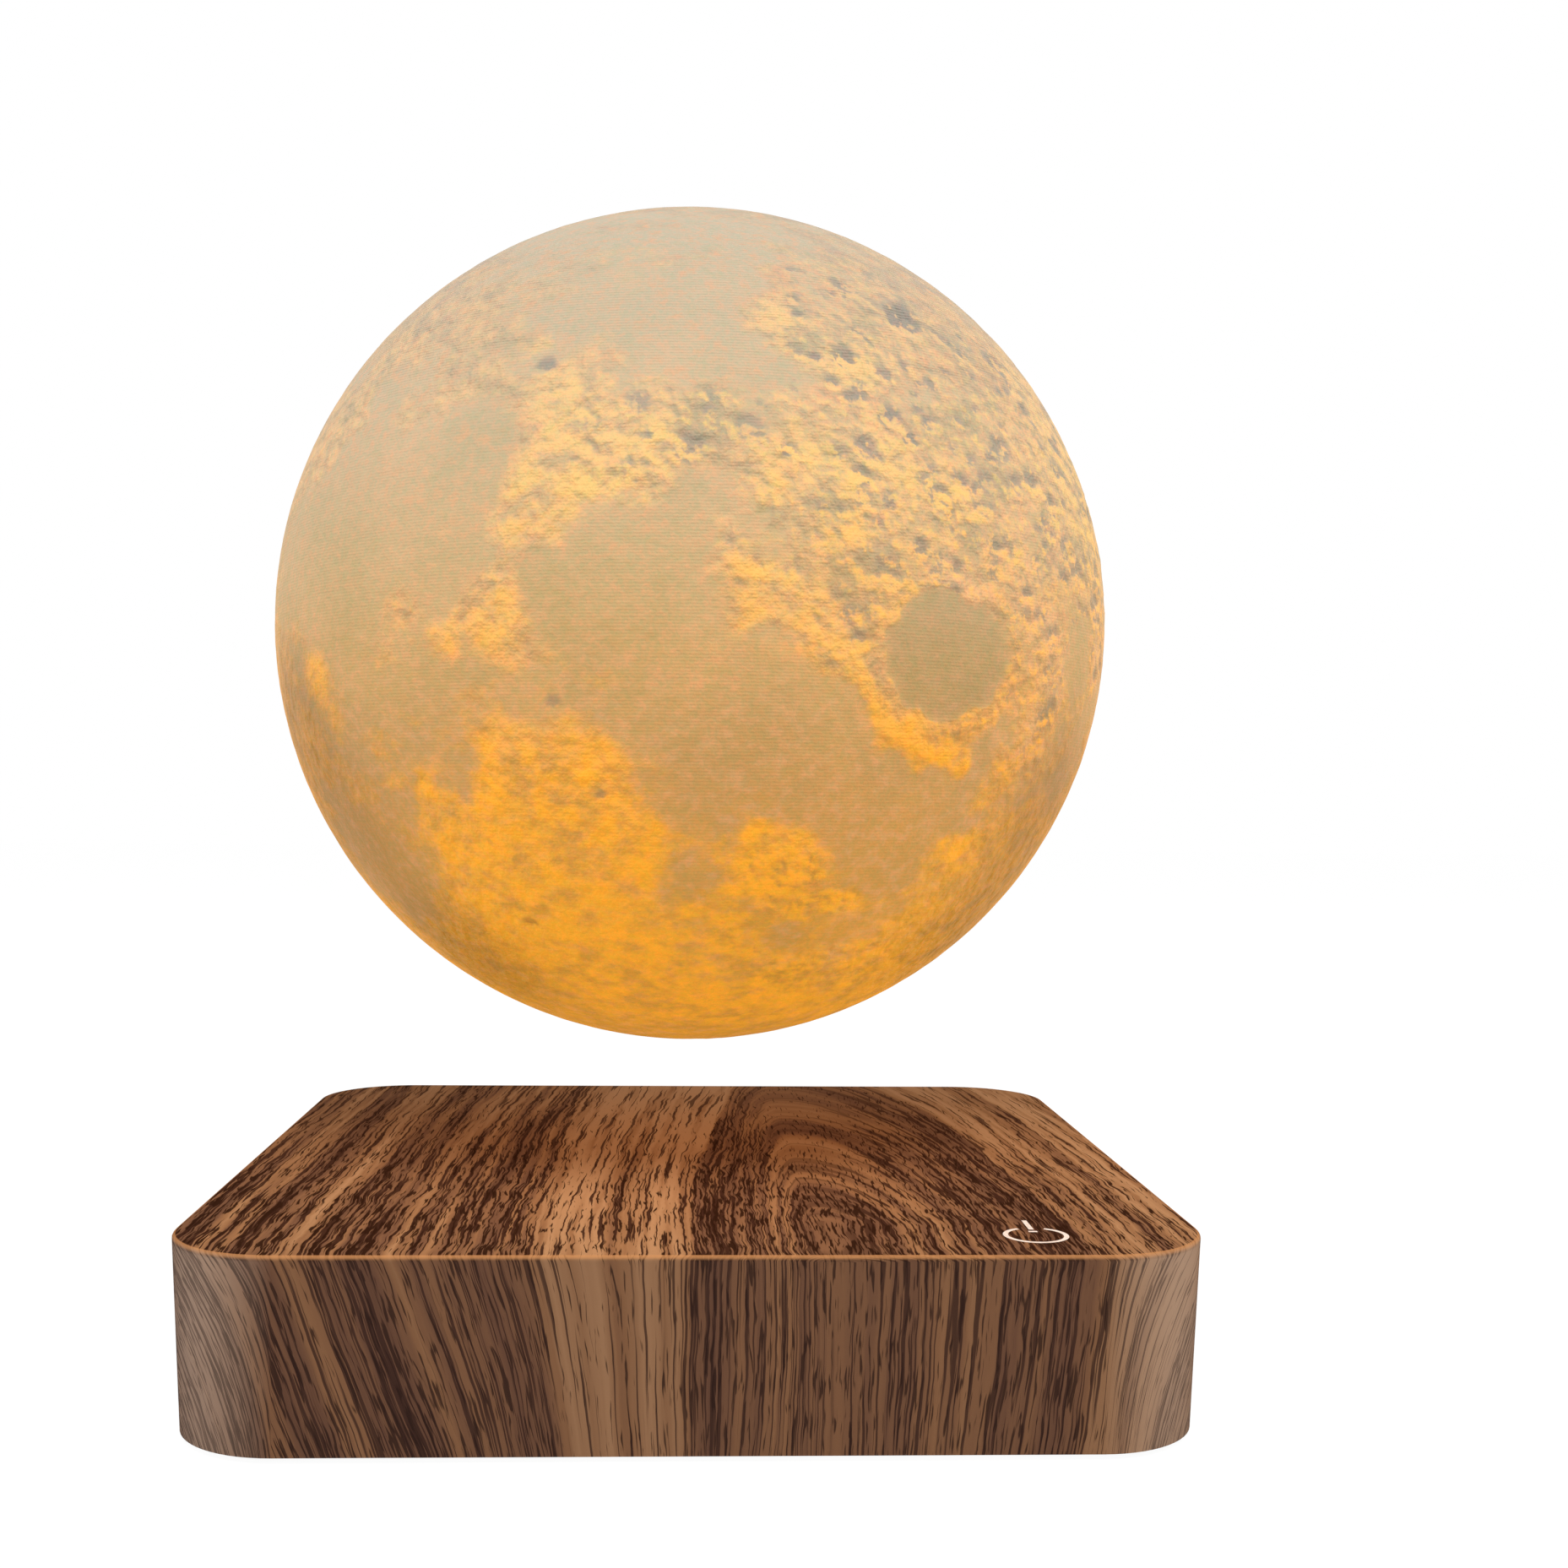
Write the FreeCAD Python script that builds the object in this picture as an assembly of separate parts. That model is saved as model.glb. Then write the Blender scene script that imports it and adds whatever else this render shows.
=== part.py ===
"""Levitating moon lamp: a lit, printed moon shell that floats over a square, wood-look base.

Millimetres, +Z up, front towards -Y. The origin is under the middle of the base, on the plane
that the rubber feet stand on. Each piece is written to parts/NAME.step.
"""

import FreeCAD
import Part

import math
import os

V = FreeCAD.Vector
UP = V(0, 0, 1)
CENTRE = V(0, 0, 0)

# ---- driving dimensions -------------------------------------------------------------------

# Base cover: a square box with round corners that narrows a little towards its rim
BASE_SIDE = 160.0
BASE_HEIGHT = 30.0
BASE_CORNER_R = 18.5
BASE_DRAFT_DEG = 2.75
COVER_WALL = 2.5
COVER_TOP = 2.5
COVER_EDGE_R = 0.6
BOSS_INSET = 14.0

# Bottom plate and feet
PLATE_T = 2.0
PLATE_RECESS = 0.6
PLATE_CLEARANCE = 0.25
VENT_L = 26.0
VENT_W = 2.5
VENT_PITCH = 7.0
VENT_COUNT = 5
FOOT_R = 6.0
FOOT_PROUD = 1.0
FOOT_RECESS = 0.8
FOOT_INSET = 24.0
FOOT_CLEARANCE = 0.15
FOOT_CHAMFER = 0.4

# Screws and bosses
BOSS_R = 3.5
SCREW_R = 1.25
SCREW_HEAD_R = 2.4
SCREW_HEAD_H = 1.2
SCREW_BITE = 8.0
SCREW_CLEARANCE = 0.05
SMALL_SCREW_R = 0.8
SMALL_HEAD_R = 1.5
SMALL_HEAD_H = 0.9

# Touch mark on the top and the touch board glued under it
MARK_INSET_X = 26.7
MARK_INSET_Y = 12.9
MARK_RING_R = 4.7
MARK_STROKE = 0.8
MARK_GAP_DEG = 52.0
MARK_BAR_NEAR = 3.7
MARK_BAR_L = 6.3
MARK_DOT_Y = 2.4
MARK_DOT_L = 1.4
MARK_DEPTH = 0.3
TOUCH_BOARD_L = 15.0
TOUCH_BOARD_W = 11.0
TOUCH_BOARD_T = 1.2
TOUCH_PAD_T = 0.8
TOUCH_CHIP = (5.0, 4.0, 1.4)

# Control board
PCB_T = 1.6
PCB_HALF_W = 39.0
PCB_FRONT_Y = -34.0
PCB_BACK_GAP = 2.2
PCB_STANDOFF = 2.5
PCB_SCREW_INSET = 5.0
CHIP = (10.0, 10.0, 1.5)
CHIP_Y = -14.0
DRIVER = (5.0, 6.2, 1.5)
DRIVER_COUNT = 4
DRIVER_PITCH = 16.0
DRIVER_Y = 22.0
CAP_R = 4.0
CAP_H = 11.5
CAP_X = (-20.0, -10.5, 13.0)
CAP_FROM_EDGE = 6.0
SOCKET = (7.4, 5.8, 7.0)
SOCKET_X = 31.0
SOCKET_FROM_EDGE = 12.0

# Power inlet
JACK_W = 9.0
JACK_H = 11.0
JACK_L = 14.0
JACK_AXIS_H = 6.5
JACK_BORE_R = 3.15
JACK_BORE_L = 10.0
JACK_PIN_R = 1.0
JACK_PIN_RECESS = 1.0
JACK_PIN_ROOT = 2.0
JACK_PIN_ROOT_R = 0.7
JACK_HOLE_R = 4.5
JACK_CLEARANCE = 0.3

# Levitation unit: ring magnet, four electromagnets and the field sensors between them
TOP_SPACE = 1.8
FRAME_FLOOR = 2.0
LIP_T = 1.8
LIP_H = 5.0
LIP_CLEARANCE = 0.2
FRAME_MARGIN = 2.0
FRAME_CORNER_R = 6.0
FRAME_BOSS_INSET = 6.0
RING_OUTER_R = 46.0
RING_INNER_R = 31.0
RING_H = 10.0
COIL_HALF_PITCH = 12.0
BOBBIN_R = 10.0
BOBBIN_BARREL_R = 4.8
BOBBIN_FLANGE_T = 1.2
CORE_R = 3.8
CORE_CLEARANCE = 0.05
WINDING_MARGIN = 0.7
SENSOR_POST_R = 3.5
SENSOR_BOARD_R = 5.8
SENSOR_BOARD_T = 1.2
SENSOR = (3.0, 1.6, 1.4)
SENSOR_DROP = 4.4
SENSOR_RING_R = 3.2
LEAD_R = 0.7
LEAD_HOLE_CLEARANCE = 0.3

# Routes of the two long leads: steps from the power coil's rim, and places beside the board
TX_LEAD_DEG = 135.0
TX_LEAD_STEP = 6.0
TX_LEAD_SIDE = 9.0
TX_LEAD_BACK = 15.0
TX_LEAD_DIP = (0.6, 1.5, 5.0)
TX_LEAD_NEAR = (3.0, 8.0)
TOUCH_LEAD_DROP = 6.0
TOUCH_LEAD_TURN = (5.0, 5.0, 7.0)
TOUCH_LEAD_Y = (-47.1, -20.0, 18.0, 42.0)
TOUCH_LEAD_OFF_WALL = (12.0, 9.0, 10.0, 13.0)
TOUCH_LEAD_ABOVE_BOARD = (3.0, 2.0, 3.0, 7.0)
TOUCH_LEAD_LOOP = (14.0, 3.0, 15.0)
TOUCH_LEAD_CREST = (2.0, 15.5)
TOUCH_LEAD_ENTRY = 11.0

# Wireless power coil on its ferrite sheet
FERRITE_T = 0.6
FERRITE_R = 44.0
FERRITE_HOLE_R = 7.0
TX_COIL_T = 1.6
TX_COIL_R = 40.0
TX_COIL_HOLE_R = 20.0

# Moon
MOON_D = 153.5
LEVITATION_GAP = 22.0
SHELL_WALL = 2.0
CAP_CLEARANCE = 0.12

# Float unit in the bottom of the moon
MAGNET_R = 19.0
MAGNET_H = 10.0
MAGNET_CLEARANCE = 0.08
MAGNET_END_PLAY = 0.1
CUP_WALL = 2.9
CUP_FLOOR = 1.5
CUP_SEAT_GAP = 0.3
FLANGE_T = 2.0
FLANGE_REACH = 4.0
FLANGE_CLEARANCE = 0.2
CAP_BOSS_R = 2.2
CAP_BOSS_INSET = 3.2
CAP_SCREW_BITE = 3.0
RX_COIL_H = 3.0
RX_COIL_W = 4.82
RX_COIL_GAP = 0.4
RX_BOARD_R = 28.0
RX_BOARD_T = 1.2
RX_CHIP = (5.0, 5.0, 1.2)
RX_CHIP_RING_R = 20.0
RX_CAP_R = 3.2
RX_CAP_H = 7.0
RX_SCREW_BITE = 5.0

# Light unit
STANDOFF_R = 2.0
STANDOFF_H = 12.0
STANDOFF_RING_R = 12.4
STANDOFF_BITE = 4.0
LED_BOARD_R = 18.0
LED_BOARD_T = 1.2
LED = (3.5, 2.8, 0.8)
LED_RING_R = 7.0
LEDS_EACH = 4
DIFFUSER_R = 17.0
DIFFUSER_WALL = 1.2

# Relief of the moon: (longitude, latitude, angular radius) in degrees, longitude 0 at the front
PLAINS = [
    (-6.8, 0.5, 10.4), (9.5, -20.6, 11.0), (31.8, -7.7, 8.0), (-41.0, 16.0, 14.5),
    (-31.0, -15.0, 8.5), (-8.0, 36.0, 10.5), (34.5, -30.5, 9.6), (10.6, -45.0, 6.2),
    (61.0, -5.0, 6.4), (-50.0, -23.0, 7.5), (150.0, 25.0, 9.0), (-140.0, -30.0, 7.5),
]
CRATERS = [
    (32.9, 35.7, 3.0), (19.6, 28.6, 1.8), (24.8, 19.5, 1.8), (31.0, 22.6, 1.4), (40.0, 6.4, 1.6),
    (48.8, 10.5, 1.7), (43.3, -17.5, 2.0), (12.0, 14.8, 1.4), (-25.2, 30.0, 1.7), (-17.5, -12.4, 1.6),
    (-48.4, -10.3, 1.8), (23.6, 3.7, 1.3), (-22.2, -31.0, 2.4), (-12.0, -40.0, 1.8),
]
FAR_CRATERS = 24
FAR_CRATER_DEG = 3.2
FAR_START_DEG = 85.0
FAR_SPAN_DEG = 190.0
PLAIN_DEPTH = 0.5
PLAIN_FLOOR_SHARE = 0.9
CRATER_DEPTH = 0.8
CRATER_FLOOR_SHARE = 0.5

# ---- derived places -----------------------------------------------------------------------

RIM_Z = FOOT_PROUD
TOP_Z = RIM_Z + BASE_HEIGHT
CEILING_Z = TOP_Z - COVER_TOP
DRAFT = math.tan(math.radians(BASE_DRAFT_DEG))
PLATE_Z = RIM_Z + PLATE_RECESS
PLATE_TOP_Z = PLATE_Z + PLATE_T

FERRITE_Z = CEILING_Z - TOP_SPACE - TX_COIL_T - FERRITE_T
TX_COIL_Z = FERRITE_Z + FERRITE_T
FRAME_TOP_Z = FERRITE_Z - RING_H
FRAME_Z = FRAME_TOP_Z - FRAME_FLOOR
FRAME_HALF = RING_OUTER_R + LIP_CLEARANCE + LIP_T + FRAME_MARGIN
FRAME_BOSS_XY = FRAME_HALF - FRAME_BOSS_INSET

PCB_Z = PLATE_TOP_Z + PCB_STANDOFF
PCB_TOP_Z = PCB_Z + PCB_T
JACK_AXIS_Z = PCB_TOP_Z + JACK_AXIS_H

MOON_R = MOON_D / 2
MOON_Z = TOP_Z + LEVITATION_GAP + MOON_R
SHELL_INNER_R = MOON_R - SHELL_WALL
CUP_R = MAGNET_R + MAGNET_CLEARANCE + CUP_WALL
RX_COIL_INNER_R = CUP_R + RX_COIL_GAP
RX_COIL_OUTER_R = RX_COIL_INNER_R + RX_COIL_W
CAP_BOSS_RING_R = RX_COIL_OUTER_R + RX_COIL_GAP + CAP_BOSS_R
OPENING_R = CAP_BOSS_RING_R + CAP_BOSS_INSET
FLANGE_R = OPENING_R + FLANGE_REACH

CORNERS = [("front_left", -1, -1), ("front_right", 1, -1), ("back_left", -1, 1), ("back_right", 1, 1)]
THIRDS = [90.0, 210.0, 330.0]


def inner_bottom_z(radius):
    """Height of the shell's inner surface at that distance from the vertical axis, below."""
    return MOON_Z - math.sqrt(SHELL_INNER_R**2 - radius**2)


CUP_Z = inner_bottom_z(CUP_R) + CUP_SEAT_GAP
MAGNET_Z = CUP_Z + CUP_FLOOR + MAGNET_END_PLAY
RX_BOARD_Z = MAGNET_Z + MAGNET_H + MAGNET_END_PLAY
FLANGE_Z = inner_bottom_z(FLANGE_R) + FLANGE_CLEARANCE
FLANGE_TOP_Z = FLANGE_Z + FLANGE_T
RX_BOARD_TOP_Z = RX_BOARD_Z + RX_BOARD_T
LED_BOARD_Z = RX_BOARD_TOP_Z + STANDOFF_H
LED_BOARD_TOP_Z = LED_BOARD_Z + LED_BOARD_T


def inner_half(z):
    """Half the inside width of the cover at height z."""
    return BASE_SIDE / 2 - (TOP_Z - z) * DRAFT - COVER_WALL


PCB_BACK_Y = inner_half(PCB_TOP_Z) - PCB_BACK_GAP
JACK_FACE_Y = inner_half(PCB_TOP_Z) - JACK_CLEARANCE
MARK_X = BASE_SIDE / 2 - MARK_INSET_X
MARK_Y = MARK_INSET_Y - BASE_SIDE / 2
BOSS_XY = BASE_SIDE / 2 - BOSS_INSET
FOOT_XY = BASE_SIDE / 2 - FOOT_INSET
SENSOR_BOARD_Z = FERRITE_Z - SENSOR_DROP
COIL_CENTRES = [(name, x * COIL_HALF_PITCH, y * COIL_HALF_PITCH) for name, x, y in CORNERS]
COIL_LEAD_X = COIL_HALF_PITCH + (BOBBIN_BARREL_R + BOBBIN_R) / 2


# ---- shapes ---------------------------------------------------------------------------------


def disc(x, y, z0, z1, radius):
    return Part.makeCylinder(radius, z1 - z0, V(x, y, z0))


def ring(x, y, z0, z1, inner, outer):
    return disc(x, y, z0, z1, outer).cut(disc(x, y, z0, z1, inner))


def block(size, x, y, z):
    """A box of that size, centred on x and y, standing on z."""
    length, width, height = size
    return Part.makeBox(length, width, height, V(x - length / 2, y - width / 2, z))


def cone(x, y, z0, z1, r0, r1):
    return Part.makeCone(r0, r1, z1 - z0, V(x, y, z0))


def around(radius, angle_deg):
    angle = math.radians(angle_deg)
    return radius * math.cos(angle), radius * math.sin(angle)


def rounded_square(half, corner_r, z):
    """Outline of a square with round corners, anticlockwise."""
    flat = half - corner_r
    diagonal = flat + corner_r * math.sqrt(0.5)
    edges = []
    for turn in range(4):
        spin = FreeCAD.Rotation(UP, 90 * turn)
        side = [V(half, -flat, z), V(half, flat, z)]
        corner = [V(half, flat, z), V(diagonal, diagonal, z), V(flat, half, z)]
        edges.append(Part.makeLine(*[spin.multVec(p) for p in side]))
        edges.append(Part.Arc(*[spin.multVec(p) for p in corner]).toShape())
    return Part.Wire(edges)


def base_block(z0, z1, inset):
    """The base's tapered outline between two heights, drawn in by inset all round."""
    wires = []
    for z in (z0, z1):
        taken = (TOP_Z - z) * DRAFT + inset
        wires.append(rounded_square(BASE_SIDE / 2 - taken, BASE_CORNER_R - taken, z))
    return Part.makeLoft(wires, True, True)


def group(solids):
    return Part.makeCompound(solids)


def one_solid(shape):
    """The single solid of a finished cut or fuse."""
    shape = shape.removeSplitter()
    assert len(shape.Solids) == 1, len(shape.Solids)
    return shape.Solids[0]


def screw(x, y, seat_z, bite, radius=SCREW_R, head_r=SCREW_HEAD_R, head_h=SCREW_HEAD_H):
    """A pan-head screw driven downwards: its head stands on seat_z."""
    head = disc(x, y, seat_z, seat_z + head_h, head_r)
    slot = block((head_r * 1.2, head_r / 4, head_h / 2), x, y, seat_z + head_h / 2)
    cross = block((head_r / 4, head_r * 1.2, head_h / 2), x, y, seat_z + head_h / 2)
    return one_solid(head.cut([slot, cross]).fuse(disc(x, y, seat_z - bite, seat_z, radius)))


def lead(points, radius):
    """A wire of round section along straight runs joined by tangent arcs."""
    corners = [V(*p) for p in points]
    edges, start = [], corners[0]
    for before, corner, after in zip(corners, corners[1:], corners[2:]):
        back, ahead = before - corner, after - corner
        reach = 0.45 * min(back.Length, ahead.Length)
        back.normalize()
        ahead.normalize()
        half_turn = (math.pi - back.getAngle(ahead)) / 2
        bend = reach / math.tan(half_turn)
        inward = (back + ahead).normalize()
        middle = corner + inward * (bend / math.cos(half_turn) - bend)
        first, last = corner + back * reach, corner + ahead * reach
        edges += [Part.makeLine(start, first), Part.Arc(first, middle, last).toShape()]
        start = last
        print("  bend radius", round(bend, 1))
    edges.append(Part.makeLine(start, corners[-1]))
    path = Part.Wire(edges)
    section = Part.Wire([Part.makeCircle(radius, corners[0], corners[1] - corners[0])])
    tube = path.makePipeShell([section], True, False)
    print("  lead volume / (section x length):", round(tube.Volume / (math.pi * radius**2 * path.Length), 4))
    return tube


# ---- base: cover, plate, feet -------------------------------------------------------------------


def mark_outlines(z0, z1):
    """The touch mark: a ring open at the back, a bar through the gap and a short dash."""
    half_stroke = MARK_STROKE / 2
    full = ring(MARK_X, MARK_Y, z0, z1, MARK_RING_R - half_stroke, MARK_RING_R + half_stroke)
    reach = MARK_RING_R + MARK_STROKE
    side = reach * math.tan(math.radians(MARK_GAP_DEG / 2))
    edge = [V(MARK_X, MARK_Y, z0), V(MARK_X + side, MARK_Y + reach, z0), V(MARK_X - side, MARK_Y + reach, z0)]
    gap = Part.Face(Part.makePolygon(edge + edge[:1])).extrude(V(0, 0, z1 - z0))
    bar_y = MARK_Y + MARK_BAR_NEAR + MARK_BAR_L / 2
    bar = block((MARK_STROKE, MARK_BAR_L, z1 - z0), MARK_X, bar_y, z0)
    dash = block((MARK_DOT_L, MARK_STROKE, z1 - z0), MARK_X, MARK_Y + MARK_DOT_Y, z0)
    return [full.cut(gap).Solids[0], bar, dash]


def base_cover():
    body = base_block(RIM_Z, TOP_Z, 0.0)
    lip = [e for e in body.Edges if abs(e.BoundBox.ZMin - TOP_Z) < 1e-6]
    body = body.makeFillet(COVER_EDGE_R, lip)
    body = body.cut(base_block(RIM_Z - 1.0, CEILING_Z, COVER_WALL))
    for _, x, y in CORNERS:
        x, y = x * BOSS_XY, y * BOSS_XY
        body = body.fuse(disc(x, y, PLATE_TOP_Z, CEILING_Z, BOSS_R))
        hole_top = PLATE_TOP_Z + SCREW_BITE + SCREW_CLEARANCE
        body = body.cut(disc(x, y, PLATE_TOP_Z, hole_top, SCREW_R + SCREW_CLEARANCE))
    wall = Part.makeCylinder(JACK_HOLE_R, BASE_SIDE / 2, V(0, JACK_FACE_Y - 1.0, JACK_AXIS_Z), V(0, 1, 0))
    return one_solid(body.cut([wall] + mark_outlines(TOP_Z - MARK_DEPTH, TOP_Z)))


def power_mark():
    return group(mark_outlines(TOP_Z - MARK_DEPTH, TOP_Z))


def board_screw_points():
    x = PCB_HALF_W - PCB_SCREW_INSET
    front, back = PCB_FRONT_Y + PCB_SCREW_INSET, PCB_BACK_Y - PCB_SCREW_INSET
    return [(-x, front), (x, front), (-x, back), (x, back)]


def bottom_plate():
    plate = base_block(PLATE_Z, PLATE_TOP_Z, COVER_WALL + PLATE_CLEARANCE)
    tools = []
    for _, x, y in CORNERS:
        foot_x, foot_y = x * FOOT_XY, y * FOOT_XY
        tools.append(disc(foot_x, foot_y, PLATE_Z, PLATE_Z + FOOT_RECESS, FOOT_R + FOOT_CLEARANCE))
        screw_x, screw_y = x * BOSS_XY, y * BOSS_XY
        tools.append(disc(screw_x, screw_y, PLATE_Z, PLATE_TOP_Z, SCREW_R + SCREW_CLEARANCE))
        tools.append(
            cone(screw_x, screw_y, PLATE_Z, PLATE_Z + SCREW_HEAD_H,
                 SCREW_HEAD_R + SCREW_CLEARANCE, SCREW_R + SCREW_CLEARANCE))
        boss_x, boss_y = x * FRAME_BOSS_XY, y * FRAME_BOSS_XY
        plate = plate.fuse(disc(boss_x, boss_y, PLATE_TOP_Z, FRAME_Z, BOSS_R))
        tools.append(disc(boss_x, boss_y, FRAME_Z - SCREW_BITE, FRAME_Z, SCREW_R + SCREW_CLEARANCE))
    for x, y in board_screw_points():
        plate = plate.fuse(disc(x, y, PLATE_TOP_Z, PCB_Z, BOSS_R))
        tools.append(disc(x, y, PLATE_Z + 1.0, PCB_Z, SMALL_SCREW_R + SCREW_CLEARANCE))
    first = -(VENT_COUNT - 1) / 2 * VENT_PITCH
    for i in range(VENT_COUNT):
        tools.append(block((VENT_L, VENT_W, PLATE_T), 0, first + i * VENT_PITCH, PLATE_Z))
    return one_solid(plate.cut(tools))


def foot(x, y):
    top = PLATE_Z + FOOT_RECESS
    puck = disc(x, y, 0, top, FOOT_R)
    edge = [e for e in puck.Edges if e.BoundBox.ZMax < 1e-6]
    return puck.makeChamfer(FOOT_CHAMFER, edge)


def case_screws():
    """Countersunk screws from below, through the plate into the cover's corner bosses."""
    made = []
    for _, x, y in CORNERS:
        x, y = x * BOSS_XY, y * BOSS_XY
        head = cone(x, y, PLATE_Z, PLATE_Z + SCREW_HEAD_H, SCREW_HEAD_R, SCREW_R)
        shank = disc(x, y, PLATE_Z + SCREW_HEAD_H, PLATE_TOP_Z + SCREW_BITE, SCREW_R)
        slot = block((SCREW_HEAD_R, SCREW_HEAD_R / 4, SCREW_HEAD_H / 2), x, y, PLATE_Z)
        cross = block((SCREW_HEAD_R / 4, SCREW_HEAD_R, SCREW_HEAD_H / 2), x, y, PLATE_Z)
        made.append(one_solid(head.fuse(shank).cut([slot, cross])))
    return group(made)


# ---- base: control board and inlet ------------------------------------------------------------------


def control_board():
    length = PCB_BACK_Y - PCB_FRONT_Y
    board = block((2 * PCB_HALF_W, length, PCB_T), 0, (PCB_BACK_Y + PCB_FRONT_Y) / 2, PCB_Z)
    holes = [disc(x, y, PCB_Z, PCB_TOP_Z, SMALL_SCREW_R + SCREW_CLEARANCE) for x, y in board_screw_points()]
    return one_solid(board.cut(holes))


def board_screws():
    bite = PCB_T + PCB_STANDOFF
    return group([
        screw(x, y, PCB_TOP_Z, bite, SMALL_SCREW_R, SMALL_HEAD_R, SMALL_HEAD_H)
        for x, y in board_screw_points()
    ])


def driver_chips():
    first = -(DRIVER_COUNT - 1) / 2 * DRIVER_PITCH
    return group([block(DRIVER, first + i * DRIVER_PITCH, DRIVER_Y, PCB_TOP_Z) for i in range(DRIVER_COUNT)])


def filter_capacitors():
    y = PCB_BACK_Y - CAP_FROM_EDGE
    return group([disc(x, y, PCB_TOP_Z, PCB_TOP_Z + CAP_H, CAP_R) for x in CAP_X])


def socket_top(side):
    """The point where a lead enters the socket on that side of the board."""
    return side * SOCKET_X, PCB_BACK_Y - SOCKET_FROM_EDGE, PCB_TOP_Z + SOCKET[2]


def lead_sockets():
    made = []
    for side in (-1, 1):
        x, y, _ = socket_top(side)
        made.append(block(SOCKET, x, y, PCB_TOP_Z))
    return group(made)


def jack_rod(radius, y0, y1):
    return Part.makeCylinder(radius, y1 - y0, V(0, y0, JACK_AXIS_Z), V(0, 1, 0))


def dc_jack():
    body = block((JACK_W, JACK_L, JACK_H), 0, JACK_FACE_Y - JACK_L / 2, PCB_TOP_Z)
    bore_end = JACK_FACE_Y - JACK_BORE_L
    bore = jack_rod(JACK_BORE_R, bore_end, JACK_FACE_Y)
    return one_solid(body.cut([bore, jack_rod(JACK_PIN_ROOT_R, bore_end - JACK_PIN_ROOT, bore_end)]))


def dc_jack_pin():
    """The contact pin in the middle of the inlet: a thinner root holds it in the housing."""
    bore_end = JACK_FACE_Y - JACK_BORE_L
    pin = jack_rod(JACK_PIN_R, bore_end, JACK_FACE_Y - JACK_PIN_RECESS)
    tip = [e for e in pin.Edges if e.BoundBox.YMin > JACK_FACE_Y - JACK_PIN_RECESS - 1e-6]
    pin = pin.makeChamfer(JACK_PIN_R / 4, tip)
    return one_solid(pin.fuse(jack_rod(JACK_PIN_ROOT_R, bore_end - JACK_PIN_ROOT, bore_end)))


# ---- base: levitation unit ------------------------------------------------------------------------------


def lead_hole_points():
    return [(math.copysign(COIL_LEAD_X, x), y) for _, x, y in COIL_CENTRES]


def sensor_lead_x():
    return (SENSOR_POST_R + SENSOR_BOARD_R) / 2


def magnet_frame():
    outline = rounded_square(FRAME_HALF, FRAME_CORNER_R, FRAME_Z)
    frame = Part.Face(outline).extrude(V(0, 0, FRAME_FLOOR))
    outer = RING_OUTER_R + LIP_CLEARANCE
    inner = RING_INNER_R - LIP_CLEARANCE
    lips = [
        ring(0, 0, FRAME_TOP_Z, FRAME_TOP_Z + LIP_H, outer, outer + LIP_T),
        ring(0, 0, FRAME_TOP_Z, FRAME_TOP_Z + LIP_H, inner - LIP_T, inner),
        disc(0, 0, FRAME_TOP_Z, SENSOR_BOARD_Z, SENSOR_POST_R),
    ]
    hole_r = LEAD_R + LEAD_HOLE_CLEARANCE
    holes = [disc(x, y, FRAME_Z, FRAME_TOP_Z, hole_r) for x, y in lead_hole_points()]
    holes.append(disc(sensor_lead_x(), 0, FRAME_Z, FRAME_TOP_Z, hole_r))
    for _, x, y in CORNERS:
        holes.append(
            disc(x * FRAME_BOSS_XY, y * FRAME_BOSS_XY, FRAME_Z, FRAME_TOP_Z, SCREW_R + SCREW_CLEARANCE))
    return one_solid(frame.fuse(lips).cut(holes))


def frame_screws():
    bite = FRAME_FLOOR + SCREW_BITE / 2
    return group([screw(x * FRAME_BOSS_XY, y * FRAME_BOSS_XY, FRAME_TOP_Z, bite) for _, x, y in CORNERS])


def coil_bobbin(x, y):
    low, high = FRAME_TOP_Z, FERRITE_Z
    body = disc(x, y, low, high, BOBBIN_BARREL_R)
    body = body.fuse([
        disc(x, y, low, low + BOBBIN_FLANGE_T, BOBBIN_R),
        disc(x, y, high - BOBBIN_FLANGE_T, high, BOBBIN_R),
    ])
    lead_x = math.copysign(COIL_LEAD_X, x)
    lead_way = disc(lead_x, y, low, low + BOBBIN_FLANGE_T, LEAD_R + LEAD_HOLE_CLEARANCE)
    return one_solid(body.cut([disc(x, y, low, high, CORE_R + CORE_CLEARANCE), lead_way]))


def coil_winding(x, y):
    low, high = FRAME_TOP_Z + BOBBIN_FLANGE_T, FERRITE_Z - BOBBIN_FLANGE_T
    return ring(x, y, low, high, BOBBIN_BARREL_R, BOBBIN_R - WINDING_MARGIN)


def coil_core(x, y):
    return disc(x, y, FRAME_TOP_Z, FERRITE_Z, CORE_R)


def magnet_leads():
    """Wires straight down from the four windings and the sensor board to the control board."""
    top = FRAME_TOP_Z + BOBBIN_FLANGE_T
    made = [disc(x, y, PCB_TOP_Z, top, LEAD_R) for x, y in lead_hole_points()]
    made.append(disc(sensor_lead_x(), 0, PCB_TOP_Z, SENSOR_BOARD_Z, LEAD_R))
    return group(made)


def sensor_board():
    return disc(0, 0, SENSOR_BOARD_Z, SENSOR_BOARD_Z + SENSOR_BOARD_T, SENSOR_BOARD_R)


def field_sensors():
    low = SENSOR_BOARD_Z + SENSOR_BOARD_T
    return group([block(SENSOR, *around(SENSOR_RING_R, angle), low) for angle in THIRDS])


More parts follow.
